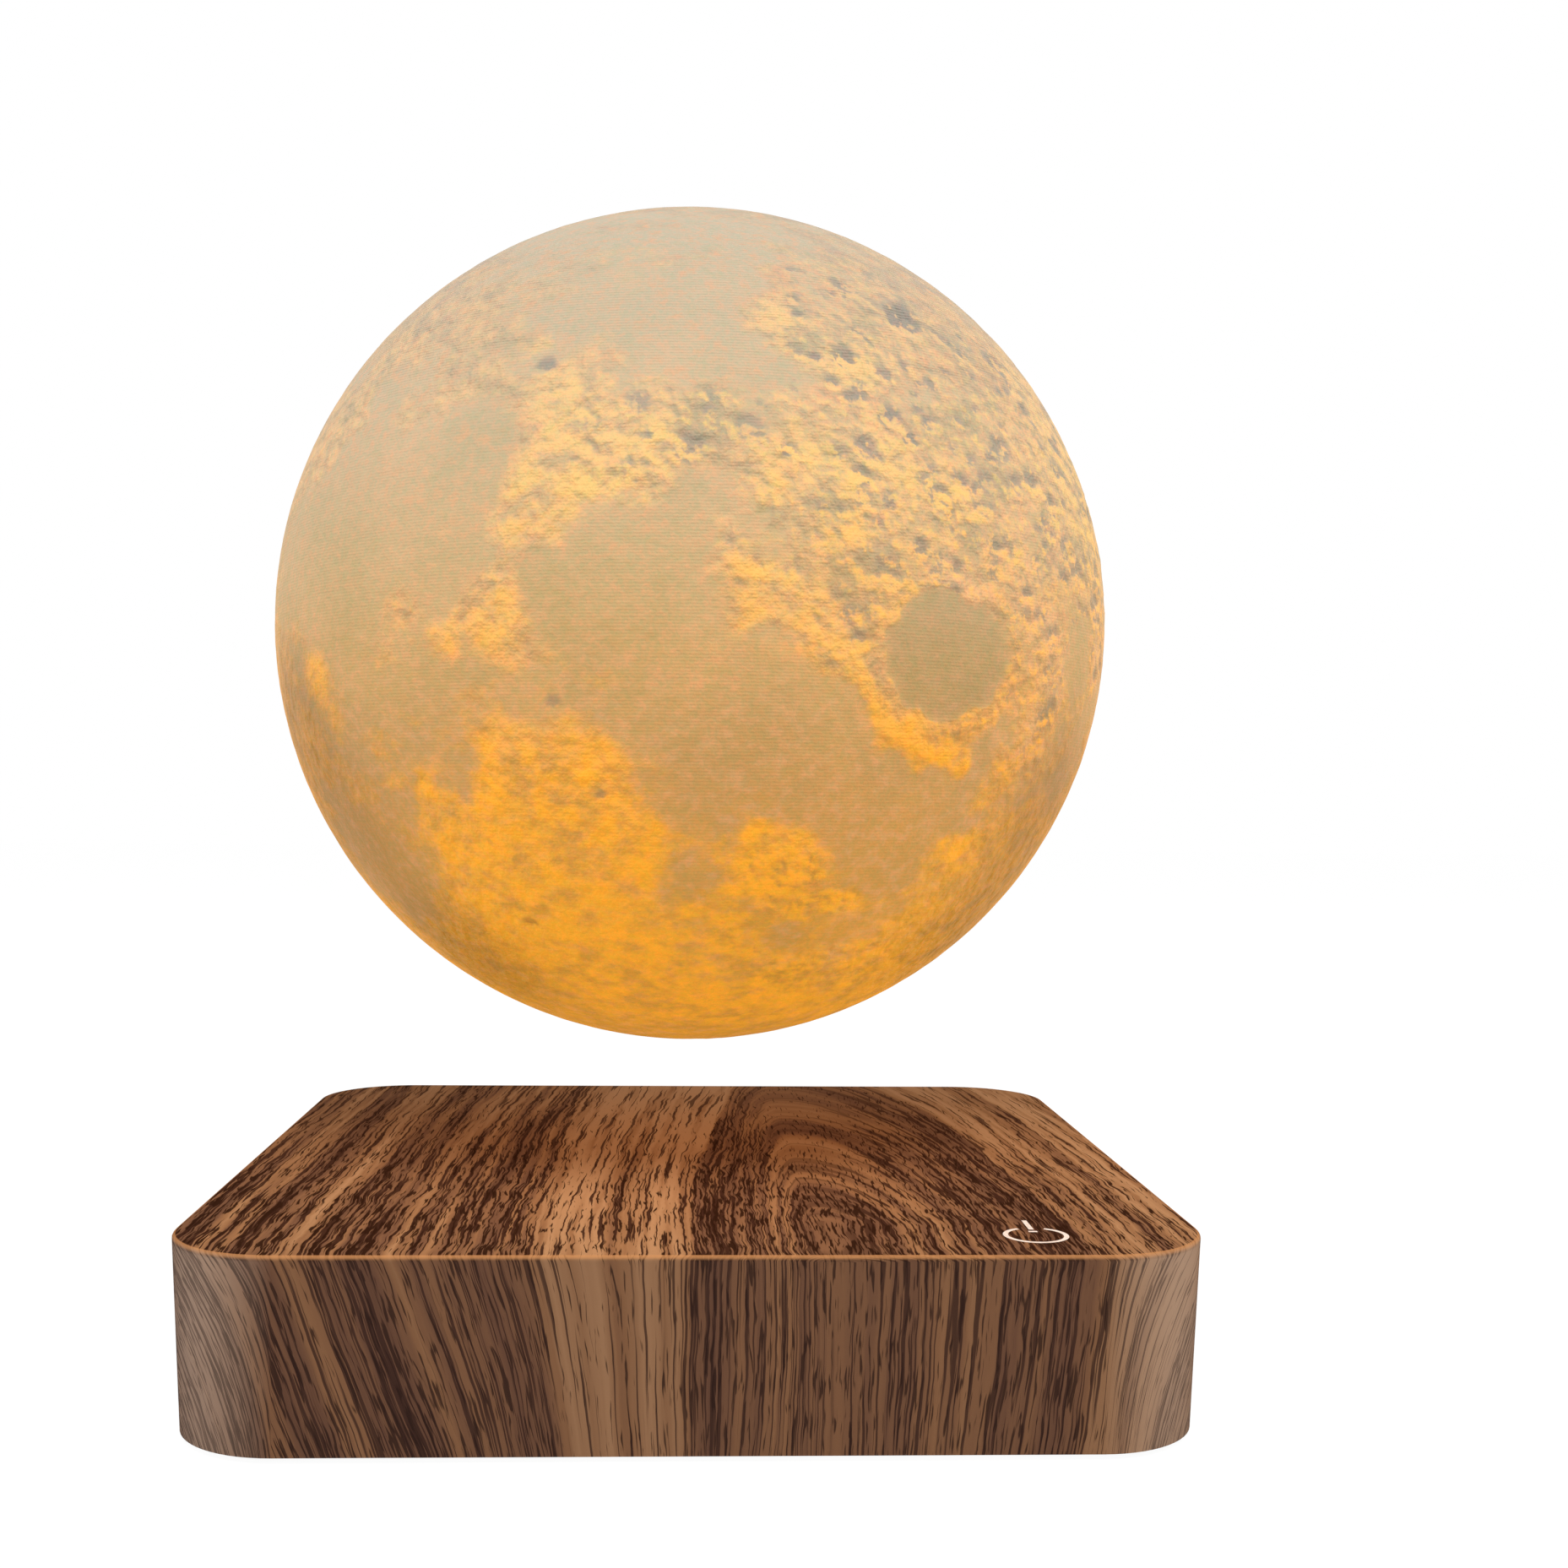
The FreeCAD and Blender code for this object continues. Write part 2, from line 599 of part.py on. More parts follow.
def transmit_lead():
    """From the rim of the power coil, over the ferrite's edge and down into the left socket."""
    z = TX_COIL_Z + TX_COIL_T / 2
    x, y = around(TX_COIL_R, TX_LEAD_DEG)
    socket_x, socket_y, socket_z = socket_top(-1)
    dip_1, dip_2, dip_3 = TX_LEAD_DIP
    near_x, near_y = TX_LEAD_NEAR
    return lead([
        (x, y, z),
        (x - TX_LEAD_STEP, y + TX_LEAD_STEP, z),
        (x - TX_LEAD_SIDE, y + TX_LEAD_BACK, z - dip_1),
        (socket_x - near_x, socket_y - near_y, z - dip_2),
        (socket_x, socket_y, z - dip_3),
        (socket_x, socket_y, socket_z),
    ], LEAD_R)


# ---- base: touch board ------------------------------------------------------------------------------------

TOUCH_Z = CEILING_Z - TOUCH_PAD_T - TOUCH_BOARD_T


def touch_pad():
    return block((TOUCH_BOARD_L, TOUCH_BOARD_W, TOUCH_PAD_T), MARK_X, MARK_Y, CEILING_Z - TOUCH_PAD_T)


def touch_board():
    return block((TOUCH_BOARD_L, TOUCH_BOARD_W, TOUCH_BOARD_T), MARK_X, MARK_Y, TOUCH_Z)


def touch_chip():
    return block(TOUCH_CHIP, MARK_X, MARK_Y, TOUCH_Z - TOUCH_CHIP[2])


def touch_lead():
    """From under the touch board, back along the right wall and into the right socket."""
    x, y, z = MARK_X - TOUCH_BOARD_L / 3, MARK_Y, TOUCH_Z
    socket_x, socket_y, socket_z = socket_top(1)
    wall = inner_half(PCB_TOP_Z)
    beside_wall = [
        (wall - off, along, PCB_TOP_Z + above)
        for off, along, above in zip(TOUCH_LEAD_OFF_WALL, TOUCH_LEAD_Y, TOUCH_LEAD_ABOVE_BOARD)
    ]
    loop_x, loop_y, loop_z = TOUCH_LEAD_LOOP
    crest_x, crest_z = TOUCH_LEAD_CREST
    turn_x, turn_y, turn_z = TOUCH_LEAD_TURN
    return lead([
        (x, y, z),
        (x, y, z - TOUCH_LEAD_DROP),
        (x + turn_x, y + turn_y, PCB_TOP_Z + turn_z),
        *beside_wall,
        (socket_x + loop_x, socket_y - loop_y, PCB_TOP_Z + loop_z),
        (socket_x + crest_x, socket_y, PCB_TOP_Z + crest_z),
        (socket_x, socket_y, PCB_TOP_Z + TOUCH_LEAD_ENTRY),
        (socket_x, socket_y, socket_z),
    ], LEAD_R)


# ---- moon: shell and its relief ------------------------------------------------------------------------------


def hollow(longitude, latitude, half_angle, depth, floor_share):
    """Cutter for one round hollow in the shell: an even floor and a sloping bank up to its rim."""

    def point(radius, angle_deg):
        angle = math.radians(angle_deg)
        return V(radius * math.sin(angle), 0, radius * math.cos(angle))

    floor_r, floor_angle = MOON_R - depth, half_angle * floor_share
    floor = [point(floor_r, floor_angle * share) for share in (0.0, 0.5, 1.0)]
    rim = point(MOON_R, half_angle)
    above = MOON_R + 1.0
    outline = [floor[2], rim, V(rim.x, 0, above), V(0, 0, above), floor[0]]
    edges = [Part.Arc(*floor).toShape()] + Part.makePolygon(outline).Edges
    cutter = Part.Face(Part.Wire(edges)).revolve(CENTRE, UP, 360)
    cutter.rotate(CENTRE, V(1, 0, 0), 90.0 - latitude)
    cutter.rotate(CENTRE, UP, longitude)
    cutter.translate(V(0, 0, MOON_Z))
    return cutter


def far_craters():
    """Craters spread over the half that faces away, in golden-section steps round it."""
    golden = (math.sqrt(5.0) - 1.0) / 2.0
    found = []
    for i in range(FAR_CRATERS):
        latitude = math.degrees(math.asin(0.85 - 1.45 * (i + 0.5) / FAR_CRATERS))
        longitude = FAR_START_DEG + FAR_SPAN_DEG * (i * golden % 1.0)
        found.append((longitude, latitude, FAR_CRATER_DEG * (0.6 + 0.4 * math.cos(i))))
    return found


def moon_shell():
    ball = Part.makeSphere(MOON_R, V(0, 0, MOON_Z))
    inside = Part.makeSphere(SHELL_INNER_R, V(0, 0, MOON_Z))
    opening = disc(0, 0, MOON_Z - MOON_R - 1.0, MOON_Z, OPENING_R)
    shell = ball.cut([inside, opening])
    plains = [hollow(*place, PLAIN_DEPTH, PLAIN_FLOOR_SHARE) for place in PLAINS]
    craters = [hollow(*place, CRATER_DEPTH, CRATER_FLOOR_SHARE) for place in CRATERS + far_craters()]
    return one_solid(shell.cut(plains).cut(craters))


def bottom_cap():
    """The cap that closes the opening: a piece of the same sphere, with bosses for its screws."""
    ball = Part.makeSphere(MOON_R, V(0, 0, MOON_Z))
    inside = Part.makeSphere(SHELL_INNER_R, V(0, 0, MOON_Z))
    plug = disc(0, 0, MOON_Z - MOON_R - 1.0, MOON_Z, OPENING_R - CAP_CLEARANCE)
    cap = ball.cut(inside).common(plug)
    for angle in THIRDS:
        x, y = around(CAP_BOSS_RING_R, angle)
        boss = disc(x, y, inner_bottom_z(CAP_BOSS_RING_R) - SHELL_WALL / 2, FLANGE_Z, CAP_BOSS_R)
        cap = cap.fuse(boss)
        cap = cap.cut(disc(x, y, FLANGE_Z - CAP_SCREW_BITE, FLANGE_Z, SMALL_SCREW_R + SCREW_CLEARANCE))
    return one_solid(cap)


# ---- moon: float unit ------------------------------------------------------------------------------------------


def float_magnet():
    return disc(0, 0, MAGNET_Z, MAGNET_Z + MAGNET_H, MAGNET_R)


def rx_screw_ring():
    return MAGNET_R + MAGNET_CLEARANCE + CUP_WALL / 2


def rx_lead_points():
    radius = (RX_COIL_INNER_R + RX_COIL_OUTER_R) / 2
    return [around(radius, angle) for angle in (20.0, 40.0)]


def float_frame():
    """Cup for the magnet, with a flange that is glued inside the shell round its opening."""
    cup = disc(0, 0, CUP_Z, RX_BOARD_Z, CUP_R).fuse(disc(0, 0, FLANGE_Z, FLANGE_TOP_Z, FLANGE_R))
    tools = [disc(0, 0, CUP_Z + CUP_FLOOR, RX_BOARD_Z, MAGNET_R + MAGNET_CLEARANCE)]
    for angle in THIRDS:
        x, y = around(CAP_BOSS_RING_R, angle)
        tools.append(disc(x, y, FLANGE_Z, FLANGE_TOP_Z, SMALL_SCREW_R + SCREW_CLEARANCE))
        x, y = around(rx_screw_ring(), angle)
        tools.append(disc(x, y, RX_BOARD_Z - RX_SCREW_BITE, RX_BOARD_Z, SMALL_SCREW_R + SCREW_CLEARANCE))
    for x, y in rx_lead_points():
        tools.append(disc(x, y, FLANGE_Z, FLANGE_TOP_Z, LEAD_R + LEAD_HOLE_CLEARANCE))
    return one_solid(cup.cut(tools))


def cap_screws():
    bite = FLANGE_T + CAP_SCREW_BITE - SCREW_CLEARANCE
    return group([
        screw(*around(CAP_BOSS_RING_R, angle), FLANGE_TOP_Z, bite, SMALL_SCREW_R, SMALL_HEAD_R, SMALL_HEAD_H)
        for angle in THIRDS
    ])


def receiver_coil():
    return ring(0, 0, FLANGE_Z - RX_COIL_H, FLANGE_Z, RX_COIL_INNER_R, RX_COIL_OUTER_R)


def receiver_leads():
    return group([disc(x, y, FLANGE_Z, RX_BOARD_Z, LEAD_R) for x, y in rx_lead_points()])


def receiver_board():
    board = disc(0, 0, RX_BOARD_Z, RX_BOARD_TOP_Z, RX_BOARD_R)
    holes = []
    for angle in THIRDS:
        x, y = around(rx_screw_ring(), angle)
        holes.append(disc(x, y, RX_BOARD_Z, RX_BOARD_TOP_Z, SMALL_SCREW_R + SCREW_CLEARANCE))
    return one_solid(board.cut(holes))


def receiver_screws():
    bite = RX_BOARD_T + RX_SCREW_BITE - SCREW_CLEARANCE
    return group([
        screw(*around(rx_screw_ring(), angle), RX_BOARD_TOP_Z, bite, SMALL_SCREW_R, SMALL_HEAD_R, SMALL_HEAD_H)
        for angle in THIRDS
    ])


def receiver_chips():
    """Rectifier and driver chips, and the smoothing capacitor."""
    chips = [block(RX_CHIP, *around(RX_CHIP_RING_R, angle), RX_BOARD_TOP_Z) for angle in (30.0, 150.0)]
    x, y = around(RX_CHIP_RING_R, 270.0)
    return group(chips + [disc(x, y, RX_BOARD_TOP_Z, RX_BOARD_TOP_Z + RX_CAP_H, RX_CAP_R)])


# ---- moon: light unit --------------------------------------------------------------------------------------------


def led_standoffs():
    made = []
    for angle in THIRDS:
        x, y = around(STANDOFF_RING_R, angle)
        post = disc(x, y, RX_BOARD_TOP_Z, LED_BOARD_Z, STANDOFF_R)
        made.append(post.cut(disc(x, y, LED_BOARD_Z - STANDOFF_BITE, LED_BOARD_Z, SMALL_SCREW_R + SCREW_CLEARANCE)))
    return group(made)


def led_board():
    board = disc(0, 0, LED_BOARD_Z, LED_BOARD_TOP_Z, LED_BOARD_R)
    holes = []
    for angle in THIRDS:
        x, y = around(STANDOFF_RING_R, angle)
        holes.append(disc(x, y, LED_BOARD_Z, LED_BOARD_TOP_Z, SMALL_SCREW_R + SCREW_CLEARANCE))
    return one_solid(board.cut(holes))


def led_screws():
    bite = LED_BOARD_T + STANDOFF_BITE - SCREW_CLEARANCE
    return group([
        screw(*around(STANDOFF_RING_R, angle), LED_BOARD_TOP_Z, bite, SMALL_SCREW_R, SMALL_HEAD_R, SMALL_HEAD_H)
        for angle in THIRDS
    ])


def leds(first_angle):
    """Every second light of the ring, turned to face outwards."""
    made = []
    for i in range(LEDS_EACH):
        angle = first_angle + 360.0 * i / LEDS_EACH
        chip = block(LED, LED_RING_R, 0, LED_BOARD_TOP_Z)
        chip.rotate(CENTRE, UP, angle)
        made.append(chip)
    return group(made)


def led_diffuser():
    dome = Part.makeSphere(DIFFUSER_R, V(0, 0, LED_BOARD_TOP_Z))
    dome = dome.cut(Part.makeSphere(DIFFUSER_R - DIFFUSER_WALL, V(0, 0, LED_BOARD_TOP_Z)))
    above = disc(0, 0, LED_BOARD_TOP_Z, LED_BOARD_TOP_Z + DIFFUSER_R + 1.0, DIFFUSER_R + 1.0)
    return one_solid(dome.common(above))


def led_lead():
    """From the receiver board up to the underside of the light board, with a little slack."""
    low, high = RX_BOARD_TOP_Z, LED_BOARD_Z
    return lead([(-6.0, 0, low), (-6.0, 0, low + 4.0), (-8.5, 1.5, low + 8.0), (-8.5, 1.5, high)], LEAD_R)


# ---- every piece, by name ------------------------------------------------------------------------------------------


def pieces():
    made = {
        "base_cover": base_cover(),
        "power_mark": power_mark(),
        "bottom_plate": bottom_plate(),
        "case_screws": case_screws(),
        "control_board": control_board(),
        "board_screws": board_screws(),
        "control_chip": block(CHIP, 0, CHIP_Y, PCB_TOP_Z),
        "driver_chips": driver_chips(),
        "filter_capacitors": filter_capacitors(),
        "lead_sockets": lead_sockets(),
        "dc_jack": dc_jack(),
        "dc_jack_pin": dc_jack_pin(),
        "magnet_frame": magnet_frame(),
        "frame_screws": frame_screws(),
        "ring_magnet": ring(0, 0, FRAME_TOP_Z, FERRITE_Z, RING_INNER_R, RING_OUTER_R),
        "magnet_leads": magnet_leads(),
        "sensor_board": sensor_board(),
        "field_sensors": field_sensors(),
        "ferrite_sheet": ring(0, 0, FERRITE_Z, TX_COIL_Z, FERRITE_HOLE_R, FERRITE_R),
        "transmit_coil": ring(0, 0, TX_COIL_Z, TX_COIL_Z + TX_COIL_T, TX_COIL_HOLE_R, TX_COIL_R),
        "transmit_lead": transmit_lead(),
        "touch_pad": touch_pad(),
        "touch_board": touch_board(),
        "touch_chip": touch_chip(),
        "touch_lead": touch_lead(),
        "moon_shell": moon_shell(),
        "bottom_cap": bottom_cap(),
        "float_magnet": float_magnet(),
        "float_frame": float_frame(),
        "cap_screws": cap_screws(),
        "receiver_coil": receiver_coil(),
        "receiver_leads": receiver_leads(),
        "receiver_board": receiver_board(),
        "receiver_screws": receiver_screws(),
        "receiver_chips": receiver_chips(),
        "led_standoffs": led_standoffs(),
        "led_board": led_board(),
        "led_screws": led_screws(),
        "warm_leds": leds(0.0),
        "white_leds": leds(180.0 / LEDS_EACH),
        "led_diffuser": led_diffuser(),
        "led_lead": led_lead(),
    }
    for name, x, y in CORNERS:
        made["foot_" + name] = foot(x * FOOT_XY, y * FOOT_XY)
    for name, x, y in COIL_CENTRES:
        made["coil_bobbin_" + name] = coil_bobbin(x, y)
        made["coil_winding_" + name] = coil_winding(x, y)
        made["coil_core_" + name] = coil_core(x, y)
    return made


os.makedirs("parts", exist_ok=True)
for node, shape in pieces().items():
    assert shape.isValid(), node
    shape.exportStep("parts/" + node + ".step")
    print(node, len(shape.Solids), round(shape.Volume, 1))
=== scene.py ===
"""Looks of a levitating moon lamp: a wood-film base with its works, and a lit, printed moon.

Metres, +Z up, front towards -Y.
"""

import math

import bmesh
import bpy
import numpy as np
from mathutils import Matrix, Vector


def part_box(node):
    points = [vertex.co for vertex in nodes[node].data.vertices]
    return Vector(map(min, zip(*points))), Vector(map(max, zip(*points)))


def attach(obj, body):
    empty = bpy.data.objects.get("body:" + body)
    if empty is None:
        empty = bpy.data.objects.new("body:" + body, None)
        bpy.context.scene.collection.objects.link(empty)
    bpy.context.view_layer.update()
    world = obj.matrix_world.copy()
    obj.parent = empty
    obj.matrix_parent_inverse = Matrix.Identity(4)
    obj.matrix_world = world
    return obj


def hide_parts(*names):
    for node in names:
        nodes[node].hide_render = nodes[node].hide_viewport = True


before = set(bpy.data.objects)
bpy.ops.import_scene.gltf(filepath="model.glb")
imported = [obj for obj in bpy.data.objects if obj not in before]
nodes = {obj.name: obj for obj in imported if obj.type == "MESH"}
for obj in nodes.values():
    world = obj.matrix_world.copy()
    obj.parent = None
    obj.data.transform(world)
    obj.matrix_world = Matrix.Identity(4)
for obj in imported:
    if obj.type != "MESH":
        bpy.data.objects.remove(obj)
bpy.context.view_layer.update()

# ---- Base cover ----------------------------------------------
# A square ABS box, moulded in one piece with its corner bosses. A thin PVC film with a walnut print
# is heat-wrapped over it: the print runs on over the edges and is drawn askew at the front corners.


def linear(hex_colour):
    """sRGB hex text to a linear RGBA colour."""
    parts = [int(hex_colour[i:i + 2], 16) / 255 for i in (1, 3, 5)]
    return [p / 12.92 if p <= 0.04045 else ((p + 0.055) / 1.055) ** 2.4 for p in parts] + [1.0]


def grey(value):
    return [value, value, value, 1.0]


def socket_value(value):
    """What a socket or a ramp takes: a hex colour is made linear, anything else stays as it is."""
    return linear(value) if isinstance(value, str) else value


def new_material(name):
    """An empty material with a Principled shader on its output."""
    material = bpy.data.materials.new(name)
    material.use_nodes = True
    return material, material.node_tree.nodes["Principled BSDF"]


def wire(node, inputs):
    """Sets a node's sockets: a socket is linked, anything else becomes the socket's own value."""
    for key, value in inputs.items():
        if isinstance(value, bpy.types.NodeSocket):
            node.id_data.links.new(value, node.inputs[key])
        else:
            node.inputs[key].default_value = socket_value(value)


def add(material, kind, inputs, output=0, stops=(), **settings):
    """Adds a node with its settings, ramp stops and links, and gives one of its outputs."""
    node = material.node_tree.nodes.new("ShaderNode" + kind)
    for name, value in settings.items():
        setattr(node, name, value)
    for i, (place, colour) in enumerate(stops):
        element = node.color_ramp.elements[i] if i < 2 else node.color_ramp.elements.new(place)
        element.position, element.color = place, socket_value(colour)
    wire(node, inputs)
    return node.outputs[output]


def in_millimetres(material):
    """The material's Object coordinates in millimetres."""
    at = add(material, "TexCoord", {}, output=3)
    return add(material, "VectorMath", {0: at, "Scale": 1000.0}, operation="SCALE")


def dress(material, *names):
    """Gives CAD nodes their material."""
    for name in names:
        for slot in nodes[name].material_slots:
            slot.material = material


cover_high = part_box("base_cover")[1]
TOP_MM = cover_high.z * 1000
HALF_SIDE_MM = cover_high.x * 1000
CORNER_R_MM = 18.5
EDGE_R_MM = 0.6
ENDLESS_MM = 1e6

# the printed figure: nested arches that open towards the front, right of the middle
FIGURE_X_MM = 21.0
FIGURE_DEPTH_MM = 16.3
FIGURE_DIP = 0.144
LEAST_DEPTH_MM = 8.0
SIDE_DEPTH = 0.1
LEFT_LEG_MM, LEFT_LEG_SQUEEZE = 12.0, 0.9
RIGHT_LEG_MM, RIGHT_LEG_SPREAD = 33.0, -0.25

# darkness of the printed rings, by their distance from the figure's axis in millimetres
RING_SPAN_MM = 115.0
RINGS = [
    (0, 0.42), (7, 0.56), (12, 0.46), (17, 0.36), (20, 0.56), (24, 0.50), (27, 0.62), (31, 0.60),
    (34, 0.22), (40, 0.12), (44, 0.44), (47, 0.14), (54, 0.18), (59, 0.58), (66, 0.60), (70, 0.48),
    (74, 0.58), (76, 0.40), (80, 0.68), (86, 0.64), (91, 0.30), (95, 0.66), (100, 0.60), (103, 0.38),
    (109, 0.68), (115, 0.6),
]

# marks of the print: period across and along the grain, and the distance to the left in which they become
# other marks than those right of the figure, all in millimetres
STREAK_MM = (1.7, 70.0)
LINE_MM = (0.52, 24.0)
PORE_MM = (0.46, 6.0)
NEW_MARKS_MM = 11.0

# waviness of the grain: its size, and its waves per millimetre
WANDER_MM, WANDER_PER_MM = 3.8, (0.028, 0.017, 0.0)
WIGGLE_MM, SIDE_WIGGLE_MM, WIGGLE_PER_MM = 1.2, 0.6, (0.10, 0.16, 0.0)

# the film's pull at the front: sideways for each millimetre down, and the X where it starts and is full
LEFT_PULL = (0.38, 6.0, -42.0)
RIGHT_PULL = (0.14, 10.0, 62.0)
DRAWN_DOWN = 0.5

film, film_shader = new_material("walnut_print_film")
point = in_millimetres(film)
point_x, _, point_z = add(film, "SeparateXYZ", {0: point}).node.outputs
size = add(film, "VectorMath", {0: point}, operation="ABSOLUTE")
flat_part = (HALF_SIDE_MM - CORNER_R_MM, HALF_SIDE_MM - CORNER_R_MM, ENDLESS_MM)
past = add(film, "VectorMath", {0: size, 1: flat_part}, operation="SUBTRACT")
past = add(film, "VectorMath", {0: past, 1: (0, 0, 0)}, operation="MAXIMUM")
signs = add(film, "VectorMath", {0: point}, operation="SIGN")
out = add(film, "VectorMath", {0: past, 1: signs}, operation="MULTIPLY")
out = add(film, "VectorMath", {0: out}, operation="NORMALIZE")
drop = add(film, "Math", {0: TOP_MM, 1: point_z}, operation="SUBTRACT")
drop = add(film, "Math", {0: drop, 1: 0.0}, operation="MAXIMUM")
on_side = add(film, "MapRange", {"Value": drop, "From Max": 1.0})
unrolled = add(film, "VectorMath", {0: out, "Scale": drop}, operation="SCALE")
unrolled = add(film, "VectorMath", {0: unrolled, 1: point}, operation="ADD")
across, unrolled_y, _ = add(film, "SeparateXYZ", {0: unrolled}).node.outputs

# streaks lean one way on the front's left, and a little the other way on its right
pull_left, pull_right = (
    add(film, "MapRange", {"Value": point_x, "From Min": starts, "From Max": full, "To Max": share},
        interpolation_type="SMOOTHSTEP")
    for share, starts, full in (LEFT_PULL, RIGHT_PULL))
pull = add(film, "Math", {0: pull_left, 1: pull_right}, operation="SUBTRACT")
out_y = add(film, "SeparateXYZ", {0: out}, output=1)
facing_front = add(film, "Math", {0: out_y, 1: -1.0}, operation="MULTIPLY")
facing_front = add(film, "Math", {0: facing_front, 1: 0.0}, operation="MAXIMUM")
pull = add(film, "Math", {0: pull, 1: facing_front}, operation="MULTIPLY")
pull = add(film, "Math", {0: pull, 1: drop}, operation="MULTIPLY")
across = add(film, "Math", {0: across, 1: pull}, operation="SUBTRACT")
drawn_down = add(film, "Math", {0: out_y, 1: drop}, operation="MULTIPLY")
along = add(film, "Math", {0: drawn_down, 1: -DRAWN_DOWN, 2: unrolled_y}, operation="MULTIPLY_ADD")

# slow and quick waviness of the whole grain
wander_at = add(film, "VectorMath", {0: unrolled, 1: WANDER_PER_MM}, operation="MULTIPLY")
wander = add(film, "TexNoise", {"Vector": wander_at, "Scale": 1.0, "Detail": 3.0, "Roughness": 0.55})
wander = add(film, "Math", {0: wander, 1: 0.5}, operation="SUBTRACT")
across = add(film, "Math", {0: wander, 1: WANDER_MM, 2: across}, operation="MULTIPLY_ADD")
wiggle_at = add(film, "VectorMath", {0: unrolled, 1: WIGGLE_PER_MM}, operation="MULTIPLY")
wiggle = add(film, "TexNoise", {"Vector": wiggle_at, "Scale": 1.0, "Detail": 2.0, "Roughness": 0.5})
wiggle_mm = add(film, "MapRange", {"Value": on_side, "To Min": WIGGLE_MM, "To Max": SIDE_WIGGLE_MM})
across = add(film, "Math", {0: wiggle, 1: wiggle_mm, 2: across}, operation="MULTIPLY_ADD")

# distance from the figure's axis stands for the growth rings
from_axis = add(film, "Math", {0: across, 1: FIGURE_X_MM}, operation="SUBTRACT")
reach = add(film, "Math", {0: from_axis}, operation="ABSOLUTE")
left_leg = add(film, "Math", {0: reach, 1: LEFT_LEG_MM}, operation="MINIMUM")
left_leg = add(film, "Math", {0: left_leg, 1: LEFT_LEG_SQUEEZE}, operation="MULTIPLY")
right_leg = add(film, "Math", {0: reach, 1: RIGHT_LEG_MM}, operation="MINIMUM")
right_leg = add(film, "Math", {0: right_leg, 1: RIGHT_LEG_SPREAD}, operation="MULTIPLY")
side = add(film, "MapRange", {"Value": from_axis, "From Min": -3.0, "From Max": 3.0},
           interpolation_type="SMOOTHSTEP")
legs = add(film, "Mix", {"Factor": side, "A": left_leg, "B": right_leg}, data_type="FLOAT")
reach = add(film, "Math", {0: reach, 1: legs}, operation="ADD")
depth = add(film, "Math", {0: along, 1: FIGURE_DIP, 2: FIGURE_DEPTH_MM}, operation="MULTIPLY_ADD")
depth = add(film, "Math", {0: depth, 1: LEAST_DEPTH_MM}, operation="MAXIMUM")
depth_share = add(film, "MapRange", {"Value": on_side, "To Min": 1.0, "To Max": SIDE_DEPTH})
depth = add(film, "Math", {0: depth, 1: depth_share}, operation="MULTIPLY")
reach_2 = add(film, "Math", {0: reach, 1: 2.0}, operation="POWER")
depth_2 = add(film, "Math", {0: depth, 1: 2.0}, operation="POWER")
ring = add(film, "Math", {0: reach_2, 1: depth_2}, operation="ADD")
ring = add(film, "Math", {0: ring}, operation="SQRT")

# rings lie alike on both sides of the figure, so the marks also change with the distance to the far left
far_left = add(film, "MapRange", {"Value": from_axis, "From Min": -12.0, "From Max": -60.0, "To Max": 60.0})


def grain_noise(rings, lengthwise, period, detail, distortion):
    """Noise drawn out along the grain: period is across and along it, in millimetres."""
    across_it = add(film, "Math", {0: rings, 1: 1 / period[0]}, operation="MULTIPLY")
    along_it = add(film, "Math", {0: lengthwise, 1: 1 / period[1]}, operation="MULTIPLY")
    beside = add(film, "Math", {0: far_left, 1: 1 / NEW_MARKS_MM}, operation="MULTIPLY")
    at = add(film, "CombineXYZ", {"X": across_it, "Y": along_it, "Z": beside})
    return add(film, "TexNoise", {"Vector": at, "Scale": 1.0, "Detail": detail, "Roughness": 0.5,
                                  "Distortion": distortion})


streaks = grain_noise(ring, along, STREAK_MM, 2.0, 0.1)
lines = grain_noise(ring, along, LINE_MM, 1.5, 0.15)
pores = grain_noise(from_axis, unrolled_y, PORE_MM, 1.5, 0.5)

at_ring = add(film, "Math", {0: ring, 1: RING_SPAN_MM}, operation="DIVIDE")
darkness = add(film, "ValToRGB", {0: at_ring}, stops=[
    (ring_mm / RING_SPAN_MM, grey(dark)) for ring_mm, dark in RINGS])
streak_share = add(film, "MapRange", {"Value": on_side, "To Min": 1.3, "To Max": 0.55})
streak_part = add(film, "Math", {0: streaks, 1: 0.5}, operation="SUBTRACT")
darkness = add(film, "Math", {0: streak_part, 1: streak_share, 2: darkness}, operation="MULTIPLY_ADD")

# the top is lighter towards the back, and darker in the arches and at the far right
towards_back = add(film, "MapRange", {"Value": along, "From Min": -40.0, "From Max": 50.0})
darkness = add(film, "Math", {0: towards_back, 1: -0.13, 2: darkness}, operation="MULTIPLY_ADD")
arches = add(film, "MapRange", {"Value": ring, "From Min": 34.0, "From Max": 26.0, "To Max": 0.09})
far_right = add(film, "MapRange", {"Value": from_axis, "From Min": 18.0, "From Max": 36.0, "To Max": 0.14})
arches = add(film, "Math", {0: arches, 1: far_right}, operation="MAXIMUM")
on_top = add(film, "Math", {0: 1.0, 1: on_side}, operation="SUBTRACT")
darkness = add(film, "Math", {0: arches, 1: on_top, 2: darkness}, operation="MULTIPLY_ADD")
wood = add(film, "ValToRGB", {0: darkness}, stops=[
    (0.05, "#bb906a"), (0.35, "#a07552"), (0.65, "#7e5a44"), (0.95, "#5e4233")])
# painted shade: the sides are a little darker than the top
wood = add(film, "Mix", {"Factor": on_side, "A": wood, "B": (0.94, 0.92, 0.94, 1.0)}, data_type="RGBA",
           blend_type="MULTIPLY", output=2)

